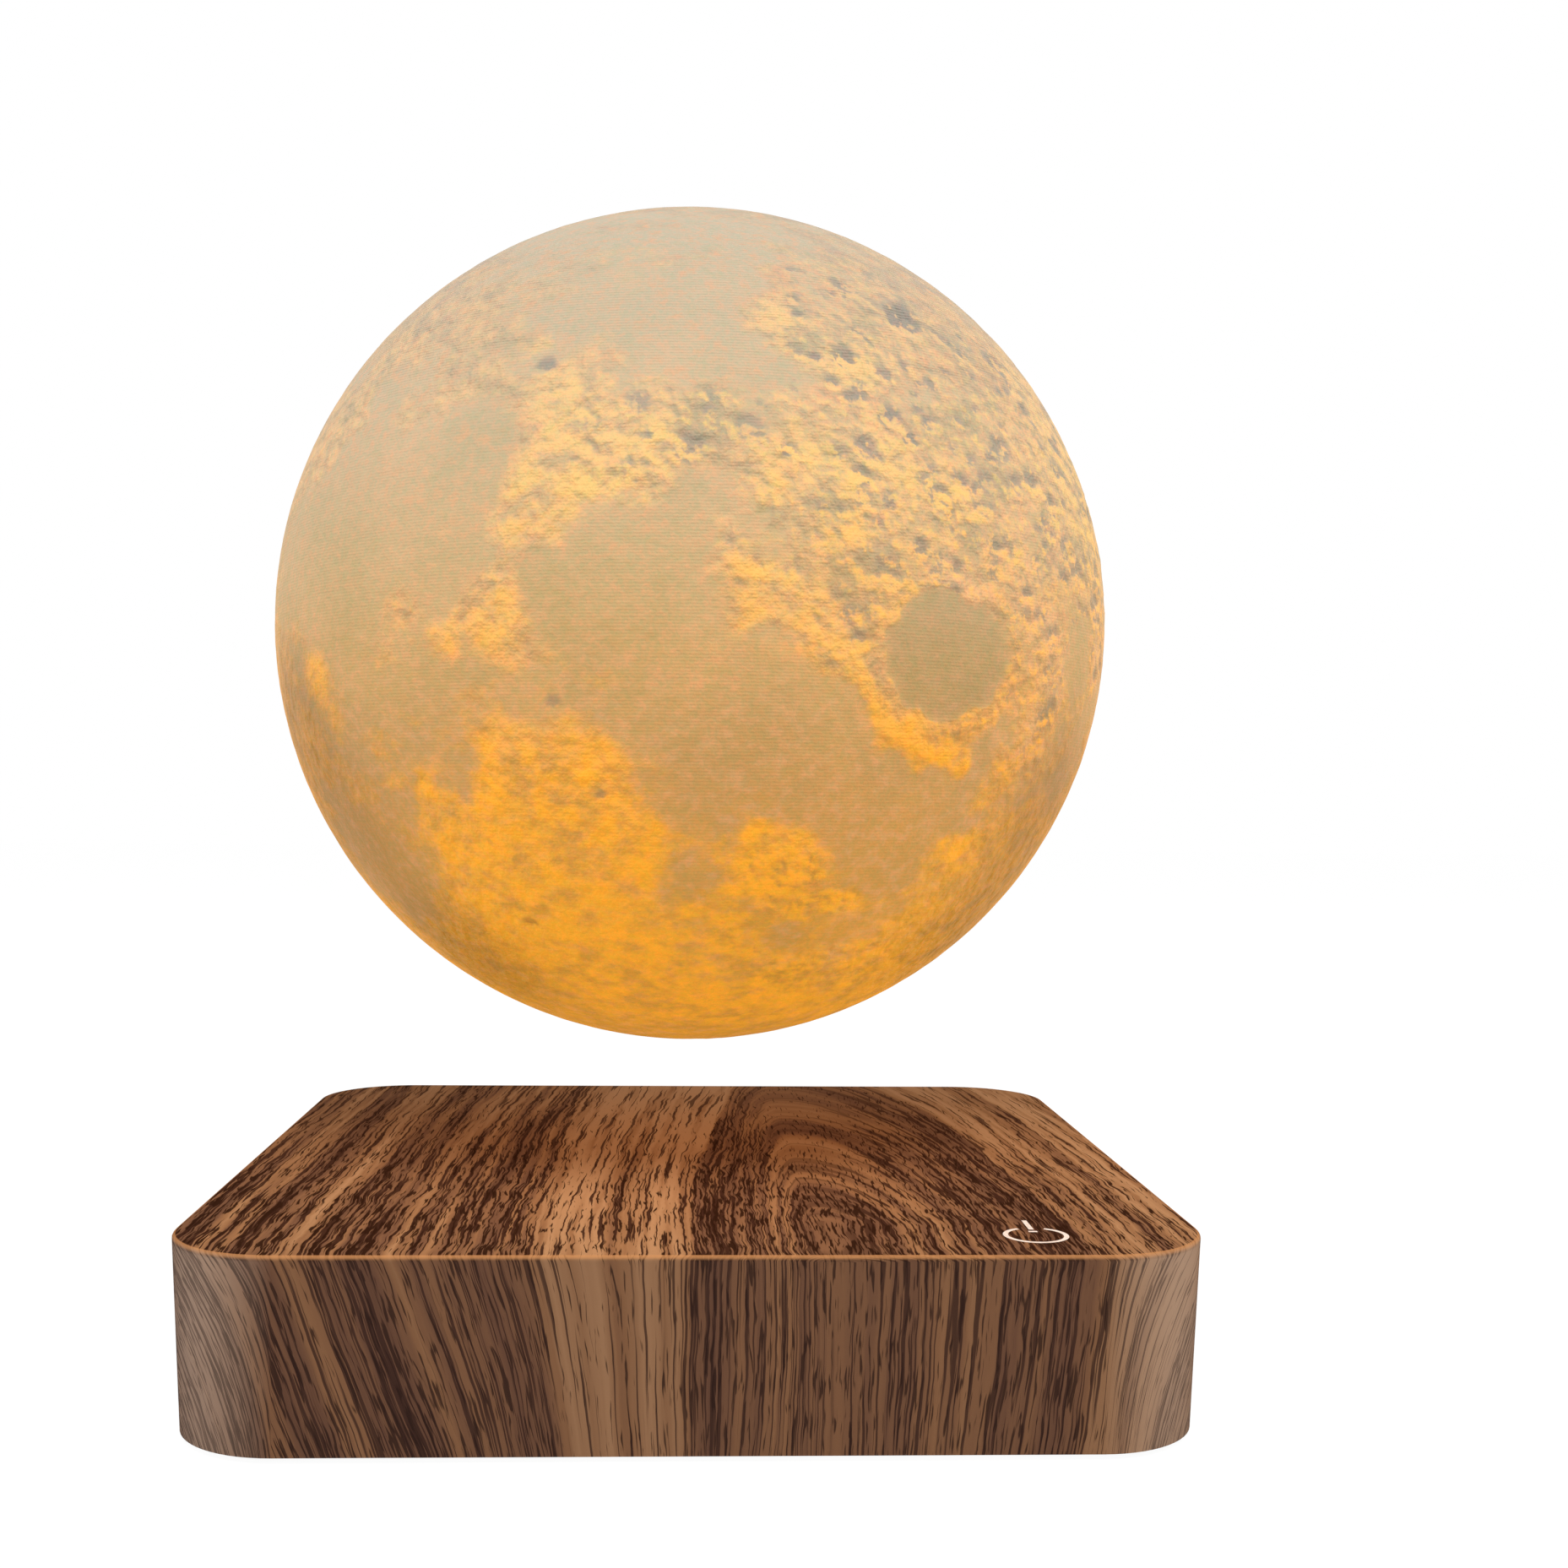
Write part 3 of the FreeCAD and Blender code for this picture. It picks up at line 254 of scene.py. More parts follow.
# lines follow the rings, and die out where a ring turns across the grain at the tops of the arches
on_face = add(film, "Math", {0: on_side, 1: facing_front}, operation="MULTIPLY")
print_strength = add(film, "MapRange", {"Value": towards_back, "To Min": 0.95, "To Max": 0.78})
print_strength = add(film, "Math", {0: on_face, 1: -0.12, 2: print_strength}, operation="MULTIPLY_ADD")
line_edge, side_edge, pore_edge = (
    add(film, "MapRange", {"Value": darkness, "From Min": 0.1, "From Max": 0.9,
                           "To Min": in_light_wood, "To Max": in_dark_wood})
    for in_light_wood, in_dark_wood in ((0.40, 0.52), (0.41, 0.475), (0.63, 0.48)))
line_edge = add(film, "Mix", {"Factor": on_side, "A": line_edge, "B": side_edge}, data_type="FLOAT")
line_mask = add(film, "Math", {0: line_edge, 1: lines}, operation="SUBTRACT")
line_mask = add(film, "MapRange", {"Value": line_mask, "From Min": -0.01, "From Max": 0.035,
                                   "To Max": print_strength})
runs_along = add(film, "Math", {0: reach, 1: ring}, operation="DIVIDE")
runs_along = add(film, "MapRange", {"Value": runs_along, "From Min": 0.15, "From Max": 0.75, "To Min": 0.4},
                 interpolation_type="SMOOTHSTEP")
line_mask = add(film, "Math", {0: line_mask, 1: runs_along}, operation="MULTIPLY")
wood = add(film, "Mix", {"Factor": line_mask, "A": wood, "B": "#41281e"}, data_type="RGBA", output=2)

# pores prick the print all over, fewer on the front and towards the back
pore_edge = add(film, "Math", {0: on_face, 1: 0.02, 2: pore_edge}, operation="MULTIPLY_ADD")
pore_edge = add(film, "Math", {0: towards_back, 1: 0.07, 2: pore_edge}, operation="MULTIPLY_ADD")
pore_mask = add(film, "Math", {0: pores, 1: pore_edge}, operation="SUBTRACT")
pore_mask = add(film, "MapRange", {"Value": pore_mask, "From Min": -0.02, "From Max": 0.05,
                                   "To Max": print_strength})
wood = add(film, "Mix", {"Factor": pore_mask, "A": wood, "B": "#341e13"}, data_type="RGBA", output=2)

# the film is pulled thin over the top edge, and a painted highlight makes it bright there
edge = add(film, "MapRange", {"Value": drop, "From Min": EDGE_R_MM * 1.2, "From Max": EDGE_R_MM * 0.5})
off_top = add(film, "MapRange", {"Value": drop, "From Min": 0.0, "From Max": 0.03, "To Max": 0.7})
edge = add(film, "Math", {0: edge, 1: off_top}, operation="MULTIPLY")
wood = add(film, "Mix", {"Factor": edge, "A": wood, "B": "#c88f5e"}, data_type="RGBA", output=2)

# painted shade makes the sides a little greyer than the top, and a painted sheen makes the film paler
# between the marks where it goes round a corner
painted_side_shade = add(film, "Math", {0: on_side, 1: 0.12}, operation="MULTIPLY")
wood = add(film, "Mix", {"Factor": painted_side_shade, "A": wood, "B": "#4a4a54"}, data_type="RGBA", output=2)
# painted sheen: the film is paler round the vertical corners, between the marks
past_x, past_y, _ = add(film, "SeparateXYZ", {0: past}).node.outputs
painted_corner_sheen = add(film, "Math", {0: past_x, 1: past_y}, operation="MULTIPLY")
painted_corner_sheen = add(film, "MapRange", {"Value": painted_corner_sheen, "From Max": CORNER_R_MM**2 / 2, "To Max": 0.70})
painted_corner_sheen = add(film, "Math", {0: painted_corner_sheen, 1: on_side}, operation="MULTIPLY")
emboss = add(film, "Math", {0: pore_mask, 1: line_mask}, operation="ADD")
between_marks = add(film, "MapRange", {"Value": emboss, "To Min": 1.0, "To Max": 0.45})
painted_corner_sheen = add(film, "Math", {0: painted_corner_sheen, 1: between_marks}, operation="MULTIPLY")
wood = add(film, "Mix", {"Factor": painted_corner_sheen, "A": wood, "B": "#ccb09b"}, data_type="RGBA", output=2)

bump = add(film, "Bump", {"Height": emboss, "Strength": 0.35, "Distance": -0.00006})
gloss = add(film, "MapRange", {"Value": emboss, "To Min": 0.45, "To Max": 0.62})
wire(film_shader, {"Base Color": wood, "Roughness": gloss, "Normal": bump, "Specular IOR Level": 0.0})
dress(film, "base_cover")

# ---- Touch mark ----------------------------------------------
# A switch sign in white ink, screen-printed on the film over the touch sensor. The ink is thin, so
# it is a little uneven and warm where the wood shows through.

NOISE = ("Scale", "Detail", "Roughness")
RANGE = ("To Min", "To Max", "From Min", "From Max")


def mottled(name, noise, tones, dull, skin=None, fine=None, finish=None, glow=0.0):
    """A finish whose tone follows a noise, and whose dullness and skin follow it or a finer one.

    noise and fine: scale per millimetre, detail, roughness. tones: places on the noise and hex colours.
    dull: one roughness, or a range of it. skin: strength of the bump and its height in metres.
    finish: any other inputs of the shader. glow: how strongly the tone shines by itself.
    """
    material, shader = new_material(name)
    at = in_millimetres(material)
    tone = add(material, "TexNoise", {"Vector": at, **dict(zip(NOISE, noise))})
    grain = add(material, "TexNoise", {"Vector": at, **dict(zip(NOISE, fine))}) if fine else tone
    tint = add(material, "ValToRGB", {0: tone}, stops=tones)
    if isinstance(dull, tuple):
        dull = add(material, "MapRange", {"Value": grain, **dict(zip(RANGE, dull))})
    wire(shader, {"Base Color": tint, "Roughness": dull, **(finish or {})})
    if skin:
        bump = add(material, "Bump", {"Height": grain, "Strength": skin[0], "Distance": skin[1]})
        wire(shader, {"Normal": bump})
    if glow:
        wire(shader, {"Emission Color": tint, "Emission Strength": glow})
    return material


ink = mottled("white_screen_ink", (1.4, 3.0), [(0.3, "#e9d3c4"), (0.6, "#fbf1ea")], 0.45)
dress(ink, "power_mark")

# ---- Bottom plate, inlet and magnet frame --------------------
# Black ABS, injection-moulded in tools with a spark-eroded skin: a dull, fine-grained surface that
# scatters the light, with a faint flow of lighter and darker resin.

black_abs = mottled("moulded_black_abs", (0.08, 3.0), [(0.35, "#1b1b1d"), (0.65, "#28282a")], (0.5, 0.72),
                    skin=(0.5, 0.00008), fine=(3.5, 2.0), finish={"Specular IOR Level": 0.4})
dress(black_abs, "bottom_plate", "dc_jack", "magnet_frame")

# ---- Feet ----------------------------------------------------
# Four round feet of black moulded rubber, stuck in shallow seats of the plate. Rubber takes dust, so
# the black is a little grey in patches and hardly shines.

rubber = mottled("moulded_rubber", (0.45, 6.0, 0.65), [(0.35, "#19191a"), (0.7, "#353434")], 0.88,
                 skin=(0.4, 0.00006), fine=(6.0, 1.0), finish={"Specular IOR Level": 0.3})
dress(rubber, "foot_front_left", "foot_front_right", "foot_back_left", "foot_back_right")

# ---- Screws --------------------------------------------------
# Pan-head screws of zinc-plated steel, cold-headed and thread-rolled. The plating is bright and a
# little cloudy, with a trace of blue from its passivation.

zinc = mottled("zinc_plated_steel", (1.2, 5.0, 0.6), [(0.35, "#b3b8c0"), (0.65, "#d2d2ce")], (0.24, 0.46),
               finish={"Metallic": 1.0})
dress(zinc, "case_screws", "board_screws", "frame_screws", "cap_screws", "receiver_screws", "led_screws")

# ---- Circuit boards ------------------------------------------
# Glass-epoxy boards under green solder mask. The copper below lifts the mask, so tracks show as a
# lighter green; round pads are tinned, and the sawn edges show the tan glass cloth.

TRACK_GAP_MM, TRACK_STEP_MM, TRACK_PITCH_MM = 0.16, 5.6, 1.27
PADS_PER_MM = 0.28


def printed_board(name, mask_dark, mask_light, edge_colour):
    """Solder mask over tracks laid in steps, tinned pads, and bare material on the sawn edges."""
    board, shader = new_material(name)
    at = in_millimetres(board)
    flat = add(board, "VectorMath", {0: at, 1: (1.0, 1.0, 0.0)}, operation="MULTIPLY")
    tracks = add(board, "TexBrick", {
        "Vector": flat, "Scale": 1.0, "Mortar Size": TRACK_GAP_MM, "Mortar Smooth": 0.2,
        "Brick Width": TRACK_STEP_MM, "Row Height": TRACK_PITCH_MM}, output=1)
    cells = add(board, "TexVoronoi", {"Vector": flat, "Scale": PADS_PER_MM})
    pads = add(board, "MapRange", {"Value": cells, "From Min": 0.15, "From Max": 0.12})
    facing = add(board, "NewGeometry", {}, output=1)
    facing = add(board, "SeparateXYZ", {0: facing}, output=2)
    facing = add(board, "Math", {0: facing}, operation="ABSOLUTE")
    sawn = add(board, "MapRange", {"Value": facing, "From Min": 0.7, "From Max": 0.4})
    tint = mask_dark
    for share, colour in ((tracks, mask_light), (pads, "#c9cacb"), (sawn, edge_colour)):
        tint = add(board, "Mix", {"Factor": share, "A": tint, "B": colour}, data_type="RGBA", output=2)
    raised = add(board, "Math", {0: tracks, 1: pads}, operation="ADD")
    skin = add(board, "Bump", {"Height": raised, "Strength": 0.4, "Distance": 0.00005})
    dull = add(board, "MapRange", {"Value": sawn, "To Min": 0.3, "To Max": 0.8})
    wire(shader, {"Base Color": tint, "Roughness": dull, "Normal": skin})
    return board


green_board = printed_board("green_solder_mask", "#0c4a2a", "#1d6b3c", "#a79a6a")
dress(green_board, "control_board", "receiver_board", "touch_board", "sensor_board")

# ---- Light board ---------------------------------------------
# An aluminium board under white solder mask, which throws the light back up into the moon. Its tracks
# show faintly, and its sawn edge is bare metal grey.

white_board = printed_board("white_solder_mask", "#ecebe4", "#dddcd3", "#a9abad")
dress(white_board, "led_board")

# ---- Chips ---------------------------------------------------
# The controllers, the coil drivers and the field sensors, soldered to their boards. Their bodies are
# transfer-moulded in black epoxy and blank on top, and its filler gives a fine dull grain.

epoxy = mottled("moulded_epoxy", (5.0, 3.0), [(0.35, "#202123"), (0.65, "#2d2e30")], 0.62,
                skin=(0.35, 0.00004), finish={"Specular IOR Level": 0.35})
dress(epoxy, "control_chip", "driver_chips", "touch_chip", "field_sensors", "receiver_chips")

# ---- Filter capacitors ---------------------------------------
# Aluminium cans in shrunk dark-blue sleeves, open at the top: the sleeve is glossy and slightly
# rippled, and the bare can end is bright.

sleeve, sleeve_shader = new_material("sleeved_aluminium_can")
at = in_millimetres(sleeve)
height = add(sleeve, "SeparateXYZ", {0: at}, output=2)
can_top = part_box("filter_capacitors")[1].z * 1000
bare = add(sleeve, "MapRange", {"Value": height, "From Min": can_top - 0.25, "From Max": can_top - 0.2})
rippled = add(sleeve, "TexNoise", {"Vector": at, "Scale": 0.8, "Detail": 2.0})
tint = add(sleeve, "ValToRGB", {0: rippled}, stops=[(0.3, "#161b33"), (0.7, "#222a4c")])
tint = add(sleeve, "Mix", {"Factor": bare, "A": tint, "B": "#c6c8ca"}, data_type="RGBA", output=2)
skin = add(sleeve, "Bump", {"Height": rippled, "Strength": 0.3, "Distance": 0.0001})
wire(sleeve_shader, {"Base Color": tint, "Metallic": bare, "Roughness": 0.3, "Normal": skin})
dress(sleeve, "filter_capacitors")

# ---- Lead sockets --------------------------------------------
# Small sockets on the boards that the leads plug into. They are moulded in natural nylon, which is
# creamy, waxy and slightly cloudy.

nylon = mottled("moulded_nylon", (0.9, 4.0), [(0.3, "#ddd6c2"), (0.7, "#ece7d8")], 0.42,
                finish={"Subsurface Weight": 0.15, "Subsurface Scale": 0.001})
dress(nylon, "lead_sockets")

# ---- Inlet pin and standoffs ---------------------------------
# The pin in the power inlet, and the pillars that carry the light board. They are turned brass under
# bright nickel, with the faint yellow of the metal below and a slightly uneven shine.

nickel = mottled("nickel_plated_brass", (7.0, 2.0), [(0.3, "#c9bf9f"), (0.7, "#dcd6c4")], (0.16, 0.34),
                 finish={"Metallic": 1.0})
dress(nickel, "dc_jack_pin", "led_standoffs")

# ---- Magnets -------------------------------------------------
# The ring magnet of the base and the round magnet of the moon are sintered and ground, then nickel
# plated: mirror-bright, with soft tumbling marks.

plating = mottled("nickel_plated_magnet", (0.7, 8.0, 0.7), [(0.3, "#bdbbb5"), (0.7, "#d3d2ce")],
                  (0.1, 0.28, 0.35, 0.65), skin=(0.15, 0.00005), finish={"Metallic": 1.0})
dress(plating, "ring_magnet", "float_magnet")

# ---- Coil bobbins and float frame ----------------------------
# The spools that the lifting coils are wound on, and the frame that holds the works inside the moon.
# All are moulded in white ABS: satin, very slightly warm, with the faint sink and flow of thick ribs.

CORNERS = ("front_left", "front_right", "back_left", "back_right")
white_abs = mottled("moulded_white_abs", (0.1, 3.0), [(0.35, "#e4e2db"), (0.65, "#efeee9")], (0.38, 0.55),
                    skin=(0.3, 0.00005), fine=(4.0, 2.0))
dress(white_abs, "float_frame", *("coil_bobbin_" + corner for corner in CORNERS))

# ---- Windings ------------------------------------------------
# Enamelled copper wire: four lifting coils on their bobbins, and the flat coils that send power up into
# the moon. The clear enamel lies over the metal as a glossy amber coat.

enamel = mottled("enamelled_copper_wire", (1.1, 4.0, 0.6), [(0.3, "#9c4a20"), (0.7, "#c97843")],
                 (0.24, 0.4), finish={"Metallic": 0.9, "Coat Weight": 0.6, "Coat Roughness": 0.12})
dress(enamel, "transmit_coil", "receiver_coil", *("coil_winding_" + corner for corner in CORNERS))

# ---- Coil cores ----------------------------------------------
# A core in each lifting coil, which gathers its field. It is soft iron, turned and lightly oiled: a dark
# grey metal with a dull, mottled skin.

iron = mottled("turned_soft_iron", (1.0, 6.0, 0.65), [(0.3, "#4b4a49"), (0.7, "#73716e")], (0.4, 0.6),
               finish={"Metallic": 1.0})
dress(iron, *("coil_core_" + corner for corner in CORNERS))

# ---- Ferrite sheet -------------------------------------------
# Sintered ferrite under the sending coil, scored in squares so that it can bend: almost black, with a
# slight metallic sparkle in its grain.

SCORE_MM, SQUARE_MM = 0.06, 2.0

ferrite, ferrite_shader = new_material("sintered_ferrite")
at = in_millimetres(ferrite)
flat = add(ferrite, "VectorMath", {0: at, 1: (1.0, 1.0, 0.0)}, operation="MULTIPLY")
scores = add(ferrite, "TexBrick", {
    "Vector": flat, "Scale": 1.0, "Mortar Size": SCORE_MM, "Brick Width": SQUARE_MM,
    "Row Height": SQUARE_MM}, output=1, offset=0.0)
sparkle = add(ferrite, "TexNoise", {"Vector": at, "Scale": 6.0, "Detail": 2.0})
tint = add(ferrite, "ValToRGB", {0: sparkle}, stops=[(0.4, "#26262a"), (0.72, "#44444a")])
skin = add(ferrite, "Bump", {"Height": scores, "Strength": 0.5, "Distance": -0.00006})
wire(ferrite_shader, {"Base Color": tint, "Roughness": 0.55, "Normal": skin})
dress(ferrite, "ferrite_sheet")

# ---- Touch pad -----------------------------------------------
# A pad cut from white foam tape, which presses the touch board up against the cover. The cut foam shows
# open cells and is quite matt.

foam, foam_shader = new_material("foam_tape")
cells = add(foam, "TexVoronoi", {"Vector": in_millimetres(foam), "Scale": 2.2})
tint = add(foam, "ValToRGB", {0: cells}, stops=[(0.15, "#c9c6bd"), (0.5, "#efede6")])
skin = add(foam, "Bump", {"Height": cells, "Strength": 0.6, "Distance": 0.00015})
wire(foam_shader, {"Base Color": tint, "Roughness": 0.95, "Normal": skin, "Specular IOR Level": 0.2})
dress(foam, "touch_pad")

# ---- Leads ---------------------------------------------------
# Thin stranded wires between the boards and the coils. They are insulated in red PVC, extruded over the
# strands: smooth and slightly waxy.

pvc = mottled("pvc_insulation", (0.6, 3.0), [(0.35, "#8e1712"), (0.65, "#b22a20")], 0.4)
dress(pvc, "magnet_leads", "transmit_lead", "touch_lead", "receiver_leads", "led_lead")

# ---- Light-emitting diodes -----------------------------------
# Warm ones under orange-yellow phosphor and cool ones under pale phosphor, cast in clear silicone. They
# are lit, so they glow a little by themselves.

for name, dark, light, diodes in (("warm_phosphor", "#e39a2c", "#f4c050", "warm_leds"),
                                  ("pale_phosphor", "#efe19a", "#fbf4cf", "white_leds")):
    phosphor = mottled(name, (4.0, 3.0), [(0.35, dark), (0.65, light)], 0.25, finish={"Coat Weight": 0.5},
                       glow=0.5)
    dress(phosphor, diodes)

# ---- Light diffuser ------------------------------------------
# A dome over the light board, which spreads its light evenly. It is moulded in frosted polycarbonate:
# milky, with a fine etched grain.

# a faint painted glow stands in for the diodes' light coming through the dome
frosted = mottled("frosted_polycarbonate", (3.0, 3.0), [(0.35, "#e9e2cf"), (0.65, "#f6f1e2")], 0.5,
                  skin=(0.3, 0.00006), finish={"Subsurface Weight": 0.4, "Subsurface Scale": 0.003},
                  glow=0.25)
dress(frosted, "led_diffuser")

# ---- Moon shell and its cap ----------------------------------
# Printed in translucent PLA, layer on layer, with the moon's dark plains as shallow hollows and its
# bright highlands thick with small craters. The lights inside glow through it: grey-gold at the top,
# golden where the wall is thin, and deep amber towards the bottom.

shell_low, shell_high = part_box("moon_shell")
MOON_R = (shell_high.x - shell_low.x) / 2
MOON_Z = shell_high.z - MOON_R
WALL = 0.002
INNER_R = MOON_R - WALL
OPENING_R = 0.033
SEAM_GAP = 0.00012

# patches as (longitude, latitude, angular radius) in degrees, longitude 0 at the front, growing rightwards;
# those past 90 degrees lie on the back, which the photograph doesn't show. Dark plains, then places that
# shine golden where the wall is thin, greyer places, and wide ones near the lower limbs with painted shade
PLAINS = [
    (-42, 17, 13), (-52, 8, 12), (-32, 10, 8), (-62, 2, 11), (-42, 1, 7), (-28, 18, 5), (-10, 34, 8),
    (1, 32, 7.5), (-5, 43, 9), (-20, 41, 8), (8, 28, 4), (5, 57, 12), (-28, 57, 10), (-10, 1, 8.5),
    (-4, -4, 8), (-15, -4, 6.5), (-11, 8.5, 4.5), (-4, 6, 5), (3, -13, 9), (13, -12, 6),
    (18.5, -14, 3.5), (-3, -19, 7.5), (5, -22, 9), (14, -21, 7), (1, -30, 5), (-1, -35.5, 4.5),
    (30, -27, 9), (38, -24, 7), (22, -25, 6), (26, -34, 5), (34, -35, 7), (9.5, -44.5, 8), (27, -45, 4),
    (-27, -12, 6.5), (-18, -15, 5.5), (-9, -14, 4), (-44, -12, 8), (-53, -26, 9), (-60, -37, 9),
    (-46, -38, 6), (-36, -10, 4), (59, -5, 5), (62, -16, 8), (44, -13, 3.5), (7, 10.5, 4), (1, 12, 2.5),
    (9, -5.5, 3.5), (13, 16, 2.5), (-23, 28, 2.5), (-28, 3, 3.0), (-26.5, 10, 2.4), (-31.5, -1, 2.4),
    (-31, -19, 4.5), (-32, -20.5, 4.5), (-39, -22, 5), (150, 25, 11), (138, 15, 8), (-140, -30, 9),
    (-128, -22, 7), (175, -12, 13), (-165, 38, 10), (-112, 12, 9), (104, -38, 9), (118, 48, 8),
    (-95, -45, 8),
]
GLOWS = [
    (-22, -26, 12), (-12, -37, 12), (-30, -41, 10), (-14, -52, 11), (6, -57, 10), (-33, -25, 7),
    (-24, -4, 3.5), (17, -8, 2.5), (21, -13, 2), (27, -16, 2.2), (34, -17, 2.2), (9, -2, 3.5),
    (62, 28, 10), (68, 14, 8), (9, -31, 5), (13, -36, 7), (38, -31.5, 3), (-56, -9, 3), (-18, 11, 5),
    (-13, 18, 5), (-12, 47, 4), (-17.5, -12, 1.5), (-11, -11, 1.8), (40, -55, 12), (110, -12, 10),
    (160, -42, 13), (-110, -12, 9), (-165, 8, 9), (128, 32, 7), (-90, -58, 14), (100, -62, 14),
    (-23.5, 30.5, 2.3), (-18, 24.5, 2.8), (-15, 19, 3.6), (-10.5, 13.5, 3.8), (-5.5, 16.5, 3.2),
    (-14.5, 10.5, 2.3), (-6, 24, 2), (13, 17, 3.2), (17, 14, 3.2), (8, 12, 2.3), (10, 35.5, 3.2),
    (21, 27.5, 3.6), (24, 16, 3.8), (30, 11.5, 3.2), (6, 3, 2.3), (8, -2.5, 3.8), (12.5, -4.5, 3.8),
    (17, 7, 3.2), (24, 1, 3.2), (-22, 6, 1.9), (-23, -3.5, 2.8), (-31, -5.5, 2.6), (-11.5, 45, 3.8),
    (44, -32, 2.6), (8, -28.5, 3.2), (17, -36.5, 3.8), (25, -40, 3.2), (23, -17, 1.8), (29.5, -19, 2),
    (35, -20, 2), (-14.5, -20.5, 3.8),
]
SHADES = [
    (35, 38, 2.2), (21, 29, 1.6), (25, 22, 1.5), (29, 21, 1.6), (8, 6.5, 3.5), (14.5, 9.5, 1.8),
    (0, 19.5, 3.3), (17, 2.5, 2.8), (34, 8, 1.8), (49.5, 6.5, 2.4), (15, -11.5, 3.6), (70, 23, 2.2),
    (15, 31, 2), (2, 27.5, 3.8), (22.5, 3.5, 2), (41, -4, 2.2), (52, -12.5, 3), (-27, -14, 2.2),
    (19, -3, 1.5), (7.5, 20, 2.2), (-43.5, -14, 3), (45, 30, 5), (36, 22, 3), (60, 10, 4), (40, 15, 3),
    (110, 5, 6), (135, -15, 7), (-120, 10, 6), (170, 45, 6),
]
PAINTED_LIMB_SHADE = [
    (-62, -30, 13), (-66, -14, 9), (-50, -50, 10), (62, -26, 11), (60, -45, 10),
]

# the round plain's middle and radii, a factor that keeps it off the far side, and the bright crest past it
ROUND_PLAIN_AT, ROUND_PLAIN_DEG = (31.8, -6.9), (9.6, 7.4)
FAR_SIDE = 9.0
CREST_DEG = 1.0
CREST = [
    (13.5, -5.2), (15.3, -6.3), (17.0, -7.5), (18.2, -8.6), (19.2, -9.8), (20.2, -11.2), (21.2, -12.6),
    (22.5, -14.2), (24.0, -15.5), (25.8, -16.6), (28.0, -17.5), (30.4, -18.4), (33.0, -19.2),
    (36.5, -20.0),
]

# where the highlands are thick with craters, and the larger craters one by one, both with their radius
CRATERED = [
    (28, 12, 20), (48, 22, 20), (58, 0, 16), (42, -12, 9), (-4, 18, 9), (14, 38, 11), (20, -40, 12),
    (100, 15, 26), (175, 32, 24), (-115, -5, 24), (150, -25, 18), (-150, 5, 16),
]
NAMED_CRATERS = [
    (33, 37, 3.1), (34.5, 39, 2.0), (19.8, 28.7, 1.7), (15.5, 29, 1.0), (24.5, 21.5, 1.9),
    (30.5, 21, 1.4), (27, 18.5, 1.4), (20.5, 23.5, 1.3), (17, 25.4, 1.0), (38.5, 6.4, 1.6),
    (48.8, 10.5, 1.5), (26.5, 5.5, 1.3), (17.5, -2.5, 1.4), (18.5, -5.5, 1.3), (34, 14, 1.2),
    (44, 1.5, 1.3), (10.6, 16.2, 1.2), (53, 4, 1.6), (-20.5, 27.5, 1.5), (-17, -13.2, 1.2),
    (-12, -24, 0.8), (52, -12, 1.5), (-28, -43, 1.2),
]

# craters in all, the radii of the strewn ones in degrees, and rim and bowl for a radius of 1
CRATERS = 2600
CRATER_DEG = (0.85, 2.3)
CRATER_RIM, CRATER_BOWL = 0.05, 0.16

# heights of the other relief, which fades out at the seam between shell and cap
PLAIN_DEPTH_MM, RIM_MM, CREST_MM, ROUGH_MM = 0.25, 0.12, 0.15, 0.06
SEAM_BLEND = 0.02
RELIEF_SEED = 11

# fields of ripples, as (waves round the moon, divisor)
RAGGED = ((14, 1.0), (30, 1.4), (65, 2.0))
ROUGH = ((60, 1.0), (110, 1.3), (190, 1.8))


def direction(longitude, latitude):
    lon, lat = np.radians(longitude), np.radians(latitude)
    return np.array([np.sin(lon) * np.cos(lat), -np.cos(lon) * np.cos(lat), np.sin(lat)])


def ripple(points, waves_round, rng, count=28):
    """A smooth random field over the sphere: a sum of plane waves, about -1 to 1."""
    ways = rng.normal(size=(count, 3))
    ways /= np.linalg.norm(ways, axis=1)[:, None]
    phases = rng.uniform(0, 2 * math.pi, count)
    return np.cos(points @ ways.T * waves_round + phases).sum(1) * math.sqrt(2.0 / count) / 2


def smooth(low, high, value):
    t = np.clip((value - low) / (high - low), 0.0, 1.0)
    return t * t * (3.0 - 2.0 * t)


def apart(points, towards):
    """Angle in degrees between each point and one direction."""
    return np.degrees(np.arccos(np.clip(points @ towards, -1, 1)))


def patched(points, patches):
    """How far each point lies in a list of round patches: 0.5 on an edge, and more within."""
    total = np.zeros(len(points))
    for longitude, latitude, radius in patches:
        total += 0.5 ** (apart(points, direction(longitude, latitude)) / radius) ** 3
    return total


